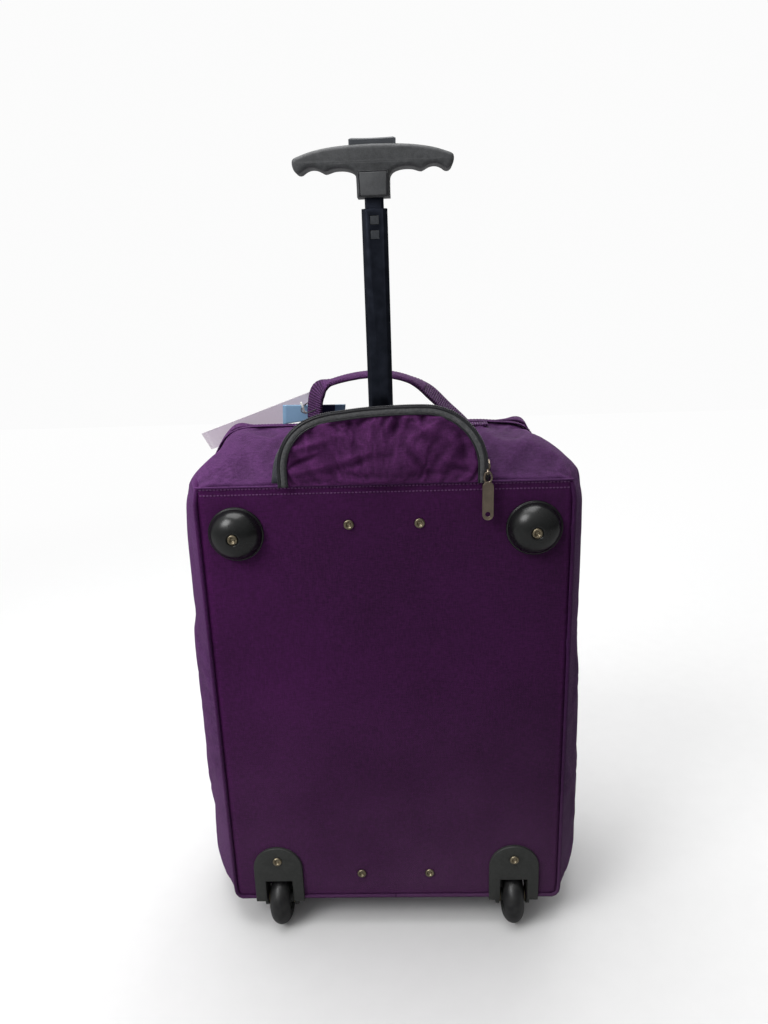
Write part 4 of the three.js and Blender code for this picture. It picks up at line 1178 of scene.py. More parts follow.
def pocket_zip(name, half, zip_z):
    """A straight zip across a pocket's face: tape, two rows of teeth, and stitched lips of fabric."""
    reach = half - 17
    path = np.array([(x, DEPTH + POCKET_DEEP - 0.1, zip_z) for x in np.linspace(-reach, reach, 50)])
    out = np.array([(0.0, 1.0, 0.0)] * len(path))
    tape = swept_part(path, out, [(-7, 0), (7, 0), (7, 0.9), (-7, 0.9)])
    teeth = [teeth_part(path, out, side * 1.05, 1.2, radius=1.05) for side in (-1, 1)]
    lips, stitches = [], []
    for side in (-1, 1):
        lips.append(swept_part(path, out, oval(side * 8.2, 0.5, 3.4, 1.3, 10)))
        stitches += stitch_parts(path + np.array([0, 1.95, side * 8.0]), out)
    for part, parts, material, slot in (
        ("tape", [tape], "grey_tape", "grey_tape"), ("teeth", teeth, "dark_teeth", "grey_tape"),
        ("lips", lips, "fabric", "body_fabric"), ("stitches", stitches, "thread", "body_fabric"),
    ):
        piece(f"{name}_pocket_{part}", parts, material, "lid", slot)


# ------------------------------------------------------------------ handle pocket

FLAP_HALF, FLAP_TOP, FLAP_CORNER, FLAP_BASE = 90.5, 556.5, 52.0, 489.5
FLAP_TAPE = 5.0


def flap_height(x, inset):
    """The flap's top edge at x, with an inset: an arch that is a little lower on its left."""
    r = FLAP_CORNER - inset
    over = max(0.0, abs(x) - (FLAP_HALF - FLAP_CORNER))
    z = FLAP_TOP - FLAP_CORNER + math.sqrt(max(0.0, r * r - over * over))
    return z - 3.5 * bell(x + 48, 26) + 0.8 * bell(x - 25, 25)


def flap_columns(inset):
    """Values of x across the flap, closer together at its rounded corners."""
    r, straight = FLAP_CORNER - inset, FLAP_HALF - FLAP_CORNER
    right = [straight + r * math.sin(a) for a in np.linspace(0.045, math.pi / 2, 22)]
    centre = list(np.linspace(-straight, straight, 40))
    return [-x for x in right[::-1]] + centre + right


def flap_edge(inset):
    """The flap's arch from its left foot to its right foot, in x and z."""
    xs = flap_columns(inset)
    pts = [(xs[0], FLAP_BASE)] + [(x, flap_height(x, inset)) for x in xs] + [(xs[-1], FLAP_BASE)]
    return resampled(pts, 3.0)


def flap_lean(z):
    """The flap's mean y at height z: it stands in front of the pole and leans a little back."""
    t = (z - FLAP_BASE) / (FLAP_TOP - FLAP_BASE)
    return -3.2 - 3.0 * math.sin(math.pi * min(1, max(0, t))) + 1.5 * t


def handle_flap():
    """The flap's fabric: a sheet held by its zip tape that bellies out and gathers along the tape."""
    xs = flap_columns(FLAP_TAPE)
    rows = 34
    verts = []
    for r in range(rows + 1):
        for x in xs:
            z = FLAP_BASE + (flap_height(x, FLAP_TAPE) - FLAP_BASE) * r / rows
            verts.append((x, flap_lean(z), z))
    made = mesh_object("flap_fabric", verts, grid_faces(rows + 1, len(xs)), "flap")
    last = len(xs) - 1
    pins = [1.0 if i // len(xs) in (0, rows) or i % len(xs) in (0, last) else 0.0 for i in range(len(verts))]
    settle(made, pins, pressure=0.9, frames=20, cap=11, shrink=-0.09, stiffness=10, bending=0.08)
    press_flap(made)
    thicken(made, 1.4).modifiers["thickness"].use_even_offset = False
    finer(made)
    sewn_at_base(made, "body_fabric", "handle_flap")
    flap_tape()


def sewn_at_base(made, slot, *nodes):
    """A piece of the flap, whose lowest edge lies in the panel's seam."""
    crossing_piece(made, ("case", "flap"), (0, -3, FLAP_BASE - 1), (0, -3, FLAP_BASE + 9), slot, *nodes)


FLAP_CREASES = [
    # start and end in x and z, width, depth
    ((-84, 507), (-56, 518), 2.4, 4.6),
    ((-80, 502), (-46, 509), 3.0, -2.6),
    ((-78, 524), (-46, 532), 3.4, -3.0),
    ((-66, 541), (-57, 531), 2.8, 3.0),
    ((-30, 551), (-24, 538), 2.2, 4.4),
    ((-14, 552), (-21, 540), 2.0, 3.8),
    ((17, 553), (11, 533), 2.6, 4.8),
    ((23, 553), (20, 540), 2.4, -2.4),
    ((5, 552), (1, 541), 2.0, 3.2),
    ((38, 553), (36, 542), 2.2, 2.8),
    ((-46, 548), (-35, 537), 2.8, 3.4),
    ((20, 525), (44, 497), 4.0, 4.8),
    ((30, 527), (52, 503), 4.0, -2.8),
    ((-44, 500), (10, 497), 3.0, 2.4),
    ((12, 497), (66, 500), 3.2, 2.8),
    ((70, 536), (75, 499), 3.6, 3.6),
    ((34, 543), (66, 526), 4.5, -3.2),
    ((-8, 515), (-50, 501), 3.8, 3.4),
    ((-4, 521), (-40, 511), 3.8, -2.4),
    ((54, 513), (80, 504), 3.2, -2.4),
    ((58, 506), (80, 498), 2.8, 2.4),
    ((-20, 531), (20, 521), 8.0, -2.0),
    ((-70, 494), (-40, 492.5), 2.4, 2.0),
]


def press_flap(made):
    """Presses the flap's creases into its settled sheet."""
    mesh = made.data
    for v in mesh.vertices:
        x, y, z = case_mm(v.co)
        edge = min(flap_height(x, FLAP_TAPE) - z, z - FLAP_BASE, FLAP_HALF - FLAP_TAPE - abs(x))
        held = min(1.0, max(0.0, edge) / 4.0)
        flat = np.array([[x, 0.0, z]])
        for (ax, az), (bx, bz), width, depth in FLAP_CREASES:
            moved = fold(flat, np.array([[0.0, -1.0, 0.0]]), (ax, 0, az), (bx, 0, bz), width, depth)
            y += moved[0][1] * held
        v.co = P(x, y, z)
    mesh.update()


def flap_tape():
    """The zip tape round the flap: a padded grey band between a row of dark teeth and a dark seam."""
    edge = flap_edge(FLAP_TAPE / 2)
    path = np.array([(x, flap_lean(z) - 1.2, z) for x, z in edge])
    out = [BACKWARD] * len(path)
    _, side, _ = frames_along(path, out)
    outer = 1 if side[len(path) // 2][2] > 0 else -1
    half = FLAP_TAPE / 2
    band = [(-half, -0.9), (half, -0.9), (half, 0.4), (half * 0.6, 1.2), (0, 1.5), (-half * 0.6, 1.2), (-half, 0.4)]
    sewn_at_base(joined_mesh("flap_tape", [swept_part(path, out, band)], "grey_tape"), "grey_tape", "flap_zip_tape")
    rims = [swept_part(path, out, oval(place, 0.4, radius, 1.1, 8))
            for place, radius in ((outer * (half + 0.8), 1.2), (-outer * (half + 0.5), 0.8))]
    sewn_at_base(joined_mesh("flap_tape_edge", rims, "dark_teeth"), "grey_tape")
    teeth = teeth_part(path, out, outer * (half + 2.2), 0.4, radius=1.1)
    sewn_at_base(joined_mesh("flap_teeth", [teeth], "dark_teeth"), "grey_tape")


def mouth_path(grow):
    """The fixed half of the pocket's zip on the body's surface, from its right end to its left end."""
    half, y_top, corner = MOUTH["half"] + grow, MOUTH["y"] + grow, MOUTH["corner"] + grow
    flat = [(half, 1.5), (half, y_top - corner)]
    for cx, start in ((half - corner, 0), (corner - half, 90)):
        flat += arc(cx, y_top - corner, corner, start, 90, 14)
    flat = resampled(flat + [(-half, y_top - corner), (-half, 1.5)], 4.0)
    points = np.array([(x, y, top_z(y)) for x, y in flat])
    slopes = [(top_z(y + 1) - top_z(max(0, y - 1))) / (y + 1 - max(0, y - 1)) for _, y in flat]
    normals = np.array([(0, -s, 1) for s in slopes], float)
    normals /= np.linalg.norm(normals, axis=1, keepdims=True)
    return points, normals


def pocket_mouth():
    """The fixed zip tape round the pocket's mouth, its teeth, and the lining that dips to the pocket's well."""
    points, normals = mouth_path(2.0)
    points[:, 0] -= np.where(points[:, 0] < 0, 4.6 * unit(1 - points[:, 1] / 70) ** 0.5, 0)
    _, side, _ = frames_along(points, normals)
    inner = -1 if side[len(points) // 2][1] > 0 else 1
    band = [(-4.5, -0.8), (4.5, -0.8), (4.5, 1.2), (2, 1.9), (-2, 1.9), (-4.5, 1.2)]
    tape = swept_part(points, normals, band)
    piece("mouth_tape", [tape], "dark_tape", "case", "grey_tape", "pocket_zip_tape")
    teeth = teeth_part(points, normals, inner * 5.4, 0.9, radius=1.3)
    piece("mouth_teeth", [teeth], "dark_teeth", "case", "grey_tape")
    mouth_lining()


LINER_HALF, LINER_Y0, LINER_Y1 = 72.4, 5.4, 43.4


def mouth_lining():
    """Black lining inside the mouth: a sheet just under the body's surface that turns down into the well."""
    edge, _ = mouth_path(0.0)
    inner = [(max(-LINER_HALF, min(LINER_HALF, x * LINER_HALF / 80)),
              max(LINER_Y0, min(LINER_Y1, y * LINER_Y1 / 52))) for x, y, _ in edge]
    rows = [[(x, y, z - 2.4) for x, y, z in edge]]
    for share in (0.35, 0.7, 1.0):
        row = []
        for (x, y, _), (qx, qy) in zip(edge, inner):
            px, py = x + (qx - x) * share, y + (qy - y) * share
            row.append((px, py, top_z(py) - 2.4 - 3.5 * share ** 2))
        rows.append(row)
    rows.append([(qx, qy, top_z(qy) - 14) for qx, qy in inner])
    verts = [p for row in rows for p in row]
    made = mesh_object("mouth_lining", verts, grid_faces(len(rows), len(edge)), "lining")
    thicken(made, 0.8)
    finish_piece(made, "case", "lining_fabric")


# ------------------------------------------------------------------ carry handle

STRAP_Y, STRAP_HALF, STRAP_STEP = 72.0, 12.5, 3.0


def strap_path():
    """The carry handle's middle line in x and z, from its left foot to its right foot."""
    pts = [(-66, 529), (-66, 541), (-64.5, 553), (-61.5, 561.5), (-55, 566.5), (-44, 569.5), (-30, 572),
           (-14, 573.5), (4, 573.3), (18, 571), (30, 567), (40, 561.5), (50, 554), (60, 545), (70, 535.5),
           (77, 528.5), (81, 523.5)]
    pts = [(x, z + 4.5 * max(0.0, math.cos((x + 6) / 62 * math.pi / 2)) ** 0.6 * (z > 545)) for x, z in pts]
    return resampled(smooth_profile(pts, 5), STRAP_STEP)


def ribbon_uv(made, lengths, widths):
    """Gives a swept ribbon a uv in millimetres: along it, then across it."""
    layer = made.data.uv_layers.new(name="uv")
    for loop in made.data.loops:
        layer.data[loop.index].uv = (lengths[loop.vertex_index], widths[loop.vertex_index])


def carry_handle():
    """Ribbed webbing that twists towards the back on its legs, and a padded sleeve folded round its middle."""
    path = strap_path()
    pts = np.array([(x, STRAP_Y, z) for x, z in path])
    out = np.gradient(path, axis=0)
    out = np.array([(-dz, 0, dx) for dx, dz in out], float)
    out /= np.linalg.norm(out, axis=1, keepdims=True)
    out *= np.sign(out[len(out) // 2][2])
    for i, (x, _) in enumerate(path):
        twist = math.radians(2 + 33 * (1 - smoothstep(x, -62, -48)) + 17 * smoothstep(x, 24, 48))
        out[i] = out[i] * math.cos(twist) + np.array([0, -math.sin(twist), 0])
    profile = [(u * STRAP_HALF, v) for v in (-1.2, 1.2) for u in np.linspace(-1, 1, 9)[::1 if v < 0 else -1]]
    made = joined_mesh("carry_webbing", [swept_part(pts, out, profile)], "webbing")
    lengths = [i * STRAP_STEP for i in range(len(pts)) for _ in profile]
    ribbon_uv(made, lengths, [u for _ in pts for u, _ in profile])
    finish_piece(made, "carry_handle", "webbing", "carry_strap")
    feet = [box_part(x0, x1, STRAP_Y - 11, STRAP_Y + 11, 527.4, 529.4) for x0, x1 in ((-75, -57), (68, 100))]
    patch = bevel(joined_mesh("carry_anchor_patches", feet, "webbing"), 0.6)
    ribbon_uv(patch, [v.co.x / MM for v in patch.data.vertices], [v.co.y / MM for v in patch.data.vertices])
    finish_piece(patch, "case", "webbing")
    sleeve(pts, out)


def sleeve(pts, out):
    """The padded sleeve, open along its underside, with a stitched edge each side."""
    keep = [i for i, p in enumerate(pts) if -58 < p[0] < 42 and p[2] > 556]
    middle, normals = pts[keep], out[keep]
    profile = []
    for a in np.linspace(-208, 28, 25):
        r = math.radians(a)
        profile.append((13.4 * math.cos(r), -3.1 * math.sin(r) if math.sin(r) < 0 else -5.0 * math.sin(r)))
    inner = [(u * 0.90, v * 0.5) for u, v in profile[::-1]]

    def swell(i):
        t = i / (len(keep) - 1)
        return 0.90 + 0.10 * math.sin(math.pi * t) ** 0.6 + 0.014 * math.sin(i * 1.9) + 0.012 * math.sin(i * 0.7 + 1)

    made = joined_mesh("carry_sleeve", [swept_part(middle, normals, profile + inner, shape=swell)], "fabric")
    finer(made)
    finish_piece(made, "carry_handle", "webbing", "carry_wrap")
    _, side, normal = frames_along(middle, normals)
    rows = []
    for offset in (-10.6, 10.6):
        rows += stitch_parts((middle + side * offset * 0.96 + normal * 1.9)[2:-2], normals[2:-2])
    piece("carry_sleeve_stitches", rows, "thread", "carry_handle", "webbing")


# ------------------------------------------------------------------ hang tags


def bent_card(name, corners, bow, thickness, material):
    """A thin four-cornered card that bows out in y, from its corners as points."""
    a, b, c, d = [np.array(p, float) for p in corners]
    n = 16
    verts = []
    for j in range(n + 1):
        for i in range(n + 1):
            s, t = i / n, j / n
            p = (a * (1 - s) + b * s) * (1 - t) + (d * (1 - s) + c * s) * t
            verts.append((p[0], p[1] + bow * math.sin(math.pi * s) * (0.6 + 0.4 * t), p[2]))
    return thicken(mesh_object(name, verts, grid_faces(n + 1, n + 1), material), thickness)


def hang_tags():
    """A blank card that leans on the lid and a blank folded booklet, on a cord loop with a small toggle."""
    corners = [(-187.1, 138.6, 495.3), (-64.4, 111.6, 537.6), (-71.4, 101.6, 559.5), (-188.2, 109.6, 517.9)]
    card = bent_card("tag_card", corners, -1.6, 0.5, "card")
    crossing_piece(card, ("carry_handle", "case"), (-62, 100, 540), (-104, 100, 540), "card", "hang_tag_card")
    corners = [(-100, 87.6, 529.5), (-38, 87.6, 537.5), (-37, 87.6, 547.5), (-99, 87.6, 548.5)]
    book = bent_card("tag_booklet", corners, -1.2, 1.5, "booklet")
    crossing_piece(book, ("case", "carry_handle"), (-70, 87, 533), (-70, 87, 550), "booklet_card", "hang_tag_booklet")
    cord = [(-70 + 9.5 * math.cos(a), 77.5 + 12.5 * math.sin(a), 548 + 3.5 * math.sin(a) + 2.5 * math.cos(a))
            for a in (2 * math.pi * i / 40 for i in range(40))]
    loop = swept_part(cord, [(0, 0, 1)] * 40, circle(0.55, 8), closed=True)
    piece("tag_cord", [loop], "dark_teeth", "carry_handle", "black_plastic", "tag_loop")
    toggle = [(-80.5, 82.6, 551.5), (-78.6, 81.2, 548.5), (-77.6, 81.2, 543.5), (-75.5, 82, 540.5)]
    path = resampled(smooth_profile(toggle), 0.8)
    toggle = swept_part(path, [BACKWARD] * len(path), circle(1.2, 8))
    piece("tag_toggle", [toggle], "white", "carry_handle", "black_plastic")


# ------------------------------------------------------------------ zip sliders and pulls


def plate_part(outline, y0, y1, hole=None):
    """A flat plate from an outline in x and z, with an optional round hole (x, z, radius)."""
    count = len(outline)
    if hole is None:
        verts = [(x, y, z) for y in (y0, y1) for x, z in outline]
        return verts, [tuple(range(count)), tuple(range(count, 2 * count))[::-1]] + grid_faces(2, count, wrap=True)
    hx, hz, r = hole
    angles = [math.atan2(z - hz, x - hx) for x, z in outline]
    inner = [(hx + r * math.cos(a), hz + r * math.sin(a)) for a in angles]
    return [(x, y, z) for y in (y0, y1) for pts in (outline, inner) for x, z in pts], frame_faces(count)


def rim_part(outline, y0, y1, inner_share):
    """A raised rim that follows a plate's outline."""
    pts = np.array(outline)
    centre = (pts.min(0) + pts.max(0)) / 2
    half = (pts.max(0) - pts.min(0)) / 2
    inner = centre + (pts - centre) * ((half - half[0] * (1 - inner_share)) / half)
    return [(x, y, z) for y in (y0, y1) for line in (pts, inner) for x, z in line], frame_faces(len(pts))


def slot_outline(x, z0, z1, half, corner):
    """A tab outline: a round lower end and softly cornered upper end."""
    pts = arc(x, z0 + half, half, 180, 180, 14)
    for cx, start in ((x + half - corner, 0), (x - half + corner, 90)):
        pts += arc(cx, z1 - corner, corner, start, 90, 6)
    return [tuple(p) for p in resampled(pts + pts[:1], 1.0)[:-1]]


def ring_part(centre, radii, thickness, normal_axis="y", sides=28):
    """An oval ring of round wire about centre, in the plane across normal_axis."""
    cx, cy, cz = centre
    ovals = [(radii[0] * u, radii[1] * v) for u, v in circle(1, sides)]
    pts = np.array([(cx + u, cy, cz + v) if normal_axis == "y" else (cx, cy + u, cz + v) for u, v in ovals])
    out = np.array(BACKWARD if normal_axis == "y" else SIDEWAYS, float)
    closed = np.vstack([pts[-1:], pts, pts[:1]])
    tangent = closed[2:] - closed[:-2]
    tangent /= np.linalg.norm(tangent, axis=1, keepdims=True)
    side = np.cross(out, tangent)
    verts = [tuple(p + s * u + out * v) for p, s in zip(pts, side) for u, v in circle(thickness, 8)]
    return verts, grid_faces(sides, 8, wrap=True) + tube_ends(sides, 8, True)


def turned_part(part, angle, centre):
    """A part turned about x through centre."""
    verts, faces = part
    c, s = math.cos(angle), math.sin(angle)
    _, cy, cz = centre
    return [(x, cy + (y - cy) * c - (z - cz) * s, cz + (y - cy) * s + (z - cz) * c) for x, y, z in verts], faces


def slider_outline(x, z, long, wide):
    """A zip slider's plan: wide shoulders at one end, narrow at the other."""
    right = [(0.30, -0.5), (0.36, -0.1), (0.5, 0.25), (0.44, 0.5)]
    side = [(x + wide * u, z + long * v) for u, v in right]
    other = [(x - wide * u, z + long * v) for u, v in right[::-1]]
    return other[-1:] + side + [(x + 1.0, z + long / 2 - 1), (x - 1.0, z + long / 2 - 1)] + other[:-1]


def bridge_part(points, half, steps=4):
    """A slider's bridge: a flat bow along x-facing points."""
    hump = smooth_profile(points, steps)
    return swept_part(hump, [SIDEWAYS] * len(hump), [(-0.6, -half), (0.6, -half), (0.6, half), (-0.6, half)])


def pocket_zip_hardware():
    """The slider at the lower right end of the pocket's zip, and its long punched pull."""
    x, y, z = 91.4, 4.1, 501.6
    plates = [plate_part(slider_outline(x, z, 12, 9), y + y0, y + y1) for y0, y1 in ((-2.6, -1.2), (1.2, 2.6))]
    bridge = ring_part((x, 1.5, 502.4), (2.6, 3.6), 0.9, "x", 20)
    parts = [turned_part(p, -math.pi / 4, (x, y, z)) for p in plates + [bridge]]
    neck = [(92.0, 0.8, 503.0), (92.3, -4.4, 502.4), (92.6, -8.2, 500.8), (92.6, -9.2, 499.0), (92.6, -8.2, 497.6)]
    path = resampled(smooth_profile(neck), 0.8)
    parts.append(swept_part(path, [SIDEWAYS] * len(path), circle(1.25, 8)))
    parts.append(plate_part(slider_outline(x, 501.0, 11, 8.4), -4.4, -2.6))
    piece("pocket_slider", parts, "pull", "pocket_slider", "bright_metal", "pocket_zip_slider", soft=(0.4,))
    x, y = 92.8, -8.6
    tab = slot_outline(x, 455.8, 491.0, 5.0, 4.2)
    parts = [ring_part((x, y, 495.0), (3.3, 4.8), 1.05), plate_part(tab, y - 0.75, y + 0.85, (x, 461.2, 2.3)),
             rim_part(tab, y - 1.45, y - 0.7, 0.74)]
    piece("pocket_pull", parts, "pull", "pocket_pull", "bright_metal", "pocket_zip_pull", soft=(0.25,))


def laid_flat(parts, x, y, z, sign):
    """Parts drawn upright at the origin, pointing down, laid along x at a place on top of the case."""
    return [([(x - sign * vz, y + vx, z - vy) for vx, vy, vz in verts], faces) for verts, faces in parts]


def main_zip_hardware(side, sign):
    """A main zip slider on top of the case, and its pull lying along the zip."""
    x, base = sign * 16.0, CREST_Z + 1.4
    plates = [plate_part(slider_outline(0, 0, 12, 9), y - 0.7, y + 0.7) for y in (-0.7, 0.9)]
    bridge = bridge_part([(0, -1.2, -4.4), (0, -4.6, -3.2), (0, -6.0, 0), (0, -4.6, 3.2), (0, -1.2, 4.4)], 1.2)
    slider = laid_flat(plates + [bridge], x, ZIP_Y, base + 0.9, sign)
    tab = slot_outline(0, -25.0, -5.6, 3.6, 2.4)
    pull = [ring_part((0, 0, -3.2), (3.0, 4.2), 0.8), plate_part(tab, -0.8, 0.8, (0, -21.0, 1.7)),
            rim_part(tab, -1.15, -0.75, 0.78)]
    pull = laid_flat(pull, x, ZIP_Y, base + 4.3, sign)
    for kind, parts in (("slider", slider), ("pull", pull)):
        name = f"main_{kind}_{side}"
        piece(name, parts, "pull", name, "bright_metal", f"main_zip_{kind}_{side}", soft=(0.25,))


def front_zip_hardware(name, x):
    """A front pocket's slider with a small hanging pull."""
    z = POCKETS[name]["z1"] - POCKET_ZIP_DROP
    face = DEPTH + POCKET_DEEP
    turned = [(x + b, z - a) for a, b in slider_outline(0, 0, 11, 9)]
    tab = slot_outline(x, z - 29, z - 3, 3.4, 2.2)
    parts = [
        plate_part(turned, face + 1.9, face + 3.4),
        bridge_part([(x, face + 3.0, z - 4), (x, face + 5.2, z), (x, face + 3.0, z + 4)], 1.1, 5),
        plate_part(tab, face + 3.9, face + 5.2, (x, z - 25, 1.6)),
        ring_part((x, face + 4.4, z - 2.4), (2.6, 3.6), 0.7),
    ]
    hardware, node = f"{name}_pocket_hardware", f"{name}_pocket_slider"
    piece(hardware, parts, "pull", f"{name}_zip", "bright_metal", node, soft=(0.25,))


# ------------------------------------------------------------------ trolley


def grip_outline():
    """The T-grip's right half in x and height above the collar's bottom, from the collar round to the top."""
    pts = [(13.6, 0), (13.6, 6), (13.7, 12), (14.0, 16.5), (16.2, 19.6), (20.5, 21.4), (26, 22.2), (32, 21.9),
           (36.5, 20.6), (39.6, 20.0), (42.6, 21.4), (46.5, 23.2), (51.2, 23.5), (55.5, 22.0), (58.6, 19.8),
           (61.6, 19.6), (64.0, 21.6), (65.4, 25.4), (65.5, 29.0), (64.2, 31.0), (60, 32.6), (51.2, 35.4),
           (40.8, 37.5), (29.2, 38.9), (14, 39.8), (0, 40.1)]
    return smooth_profile(pts, 3)


def grip_blank(outline):
    """The whole grip as one bmesh: its outline as a curve, given its depth and its soft edges."""
    soft = 3.4
    curve = bpy.data.curves.new("grip_blank", "CURVE")
    curve.dimensions, curve.fill_mode = "2D", "BOTH"
    spline = curve.splines.new("POLY")
    spline.points.add(len(outline) - 1)
    for point, (x, z) in zip(spline.points, outline):
        point.co = (x * MM, z * MM, 0, 1)
    spline.use_cyclic_u = True
    curve.extrude, curve.offset = (GRIP_HALF_DEEP - soft) * MM, -soft * MM
    curve.bevel_depth, curve.bevel_resolution = soft * MM, 4
    temp = bpy.data.objects.new("grip_blank", curve)
    bpy.context.scene.collection.objects.link(temp)
    mesh = bpy.data.meshes.new_from_object(temp.evaluated_get(bpy.context.evaluated_depsgraph_get()))
    bpy.data.objects.remove(temp)
    bm = bmesh.new()
    bm.from_mesh(mesh)
    bpy.data.meshes.remove(mesh)
    bmesh.ops.remove_doubles(bm, verts=bm.verts, dist=0.00002)
    bmesh.ops.rotate(bm, verts=bm.verts, matrix=Matrix.Rotation(math.pi / 2, 3, "X"), cent=(0, 0, 0))
    bmesh.ops.translate(bm, verts=bm.verts, vec=P(0, POLE_Y, COLLAR_Z))
    crown_grip(bm)
    return bm


def grip():
    """The grip as two moulded halves with softly rounded edges, an inset plate on each collar face."""
    right = [tuple(p) for p in grip_outline()]
    left = [(-x, z) for x, z in right[::-1][1:]]
    outline = resampled(right + left + [right[0]], 1.6)[:-1]
    for end, sign in (("back", -1), ("front", 1)):
        bm = grip_blank(outline)
        bmesh.ops.bisect_plane(bm, geom=bm.verts[:] + bm.edges[:] + bm.faces[:], plane_no=(0, sign, 0),
                               plane_co=P(0, POLE_Y + sign * 0.12, 0), clear_inner=True)
        bmesh.ops.holes_fill(bm, edges=[e for e in bm.edges if len(e.link_faces) == 1])
        bmesh.ops.triangulate(bm, faces=[f for f in bm.faces if len(f.verts) > 4])
        bmesh.ops.recalc_face_normals(bm, faces=bm.faces)
        made = mesh_object(f"grip_{end}", [], [], "grip")
        bm.to_mesh(made.data)
        bm.free()
        shade_smooth(made.data)
        made.data.set_sharp_from_angle(angle=math.radians(38))
        finish_piece(made, "grip", "grip_plastic", f"grip_shell_{end}")
    grip_plate("grip_plate_back", -1)
    grip_plate("grip_plate_front", 1)


def crown_grip(bm):
    """Thins the grip a little towards its ends and along its top, as moulded grips are."""
    base = P(0, POLE_Y, COLLAR_Z)
    for v in bm.verts:
        x, y, z = (v.co - base) / MM
        thin = 1 - 0.10 * min(1, max(0, abs(x) - 20) / 45) ** 1.5
        thin -= 0.16 * min(1, max(0, z - 24) / 16) ** 2
        v.co.y = base.y + y * thin * MM


def grip_plate(name, sign):
    """The flat inset plate on a collar face, and the groove round three of its sides as a dark strip: painted shade
    in the groove.
    """
    y = POLE_Y + sign * (GRIP_HALF_DEEP + 0.1)
    outline = [(-10.4, COLLAR_Z + 1.0), (10.4, COLLAR_Z + 1.0), (11.2, COLLAR_Z + 18.6), (-11.2, COLLAR_Z + 18.6)]
    part = plate_part(outline, *sorted((y + sign * 0.5, y - sign * 1.6)))
    piece(name, [part], "grip", "grip", "grip_plastic", soft=(0.6, 3))
    # the groove round the plate is a dark strip standing a little proud: painted shade
    lines = [[(x, 19.2) for x in np.linspace(-12.6, 12.6, 12)]]
    lines += [[(side * (10.9 + z * 0.045), z) for z in np.linspace(0.4, 18.8, 12)] for side in (-1, 1)]
    groove = [(-0.4, -0.6), (0.4, -0.6), (0.4, 0.25), (-0.4, 0.25)]
    strips = [swept_part([(x, y + sign * 0.15, COLLAR_Z + z) for x, z in line], [(0, sign, 0)] * 12, groove)
              for line in lines]
    piece(name + "_groove_shade", strips, "dark_teeth", "grip", "grip_plastic")


BUTTON_HALF, BUTTON_DEEP = 19.0, 7.5
ROD_END_Z = 452


def release_button():
    """The push button on top of the grip, with a finger dish, on its push rod."""
    low, high = COLLAR_Z + 30, COLLAR_Z + 45.2
    rows, cols = 13, 33
    verts = []
    for v in np.linspace(-1, 1, rows):
        for u in np.linspace(-1, 1, cols):
            dish = 0.9 * (1 - u * u) * (1 - v * v * 0.6)
            edge = 1.3 * max(abs(u) ** 14, abs(v) ** 10)
            verts.append((u * BUTTON_HALF, POLE_Y + v * BUTTON_DEEP, high - dish - edge))
    loop = list(range(cols)) + [j * cols + cols - 1 for j in range(1, rows)]
    loop += [(rows - 1) * cols + i for i in range(cols - 2, -1, -1)] + [j * cols for j in range(rows - 2, 0, -1)]
    base, count = len(verts), len(loop)
    verts += [(verts[i][0], verts[i][1], low) for i in loop]
    faces = grid_faces(rows, cols)
    faces += [(loop[k], loop[(k + 1) % count], base + (k + 1) % count, base + k) for k in range(count)]
    faces.append(tuple(range(base, base + count)))
    rod = [(0, POLE_Y, z) for z in np.linspace(ROD_END_Z, low + 1, 8)]
    rod = swept_part(rod, [BACKWARD] * len(rod), circle(1.6, 12))
    made = joined_mesh("release_button_cap", [(verts, faces), rod], "button")
    made.data.set_sharp_from_angle(angle=math.radians(40))
    finish_piece(made, "button", "grip_plastic", "release_button")


# ------------------------------------------------------------------ fittings and wheels


def rivet(name, x, y, z, node):
    """A tubular rivet head: a rolled rim round a dimple, seated at y."""
    head = [(0.01, 0.9), (1.2, 0.95), (1.9, 0.55), (2.3, -0.2), (2.9, -0.75), (3.6, -0.85), (4.3, -0.55), (4.7, 0.1),
            (4.8, 0.75), (4.6, 1.2)]
    profile = [(max(0.01, r), a) for r, a in smooth_profile(head, 3)] + [(2.0, 1.3), (2.0, 8.0), (0.01, 8.0)]
    turned_piece(name, profile, "y", (x, y - 0.6, z), 28, "steel", "case", "bright_metal", node, closed=False)


def skid_dome(side, sign):
    """A satin moulded dome with a thin flange and a recess for its rivet."""
    outer = [(DOME_R, -0.3), (DOME_R, -1.1), (25.2, -1.9), (24.4, -2.2), (23.9, -3.4), (23.2, -5.6), (21.5, -8.8),
             (18.6, -12.2), (14.8, -15.0), (10.6, -16.9), (7.2, -17.8), (5.9, -17.8), (5.3, -17.2), (5.1, -16.4)]
    profile = smooth_profile(outer) + [(2.4, -16.4), (2.4, -12.6), (12.5, -12.2), (18, -7.5), (18.8, -0.3)]
    turned_piece(f"dome_{side}", profile, "y", (sign * DOME_X, 0, DOME_Z), 72, "gloss",
                 "case", "black_plastic", f"skid_dome_{side}", sharp=50)
    rivet(f"dome_rivet_{side}", sign * DOME_X, -16.9, DOME_Z, f"rivet_dome_{side}")


def mirrored(profile):
    """A profile of [radius, along] pairs from one end to the middle, and back out to the other end."""
    return profile + [(radius, -along) for radius, along in profile[::-1]]


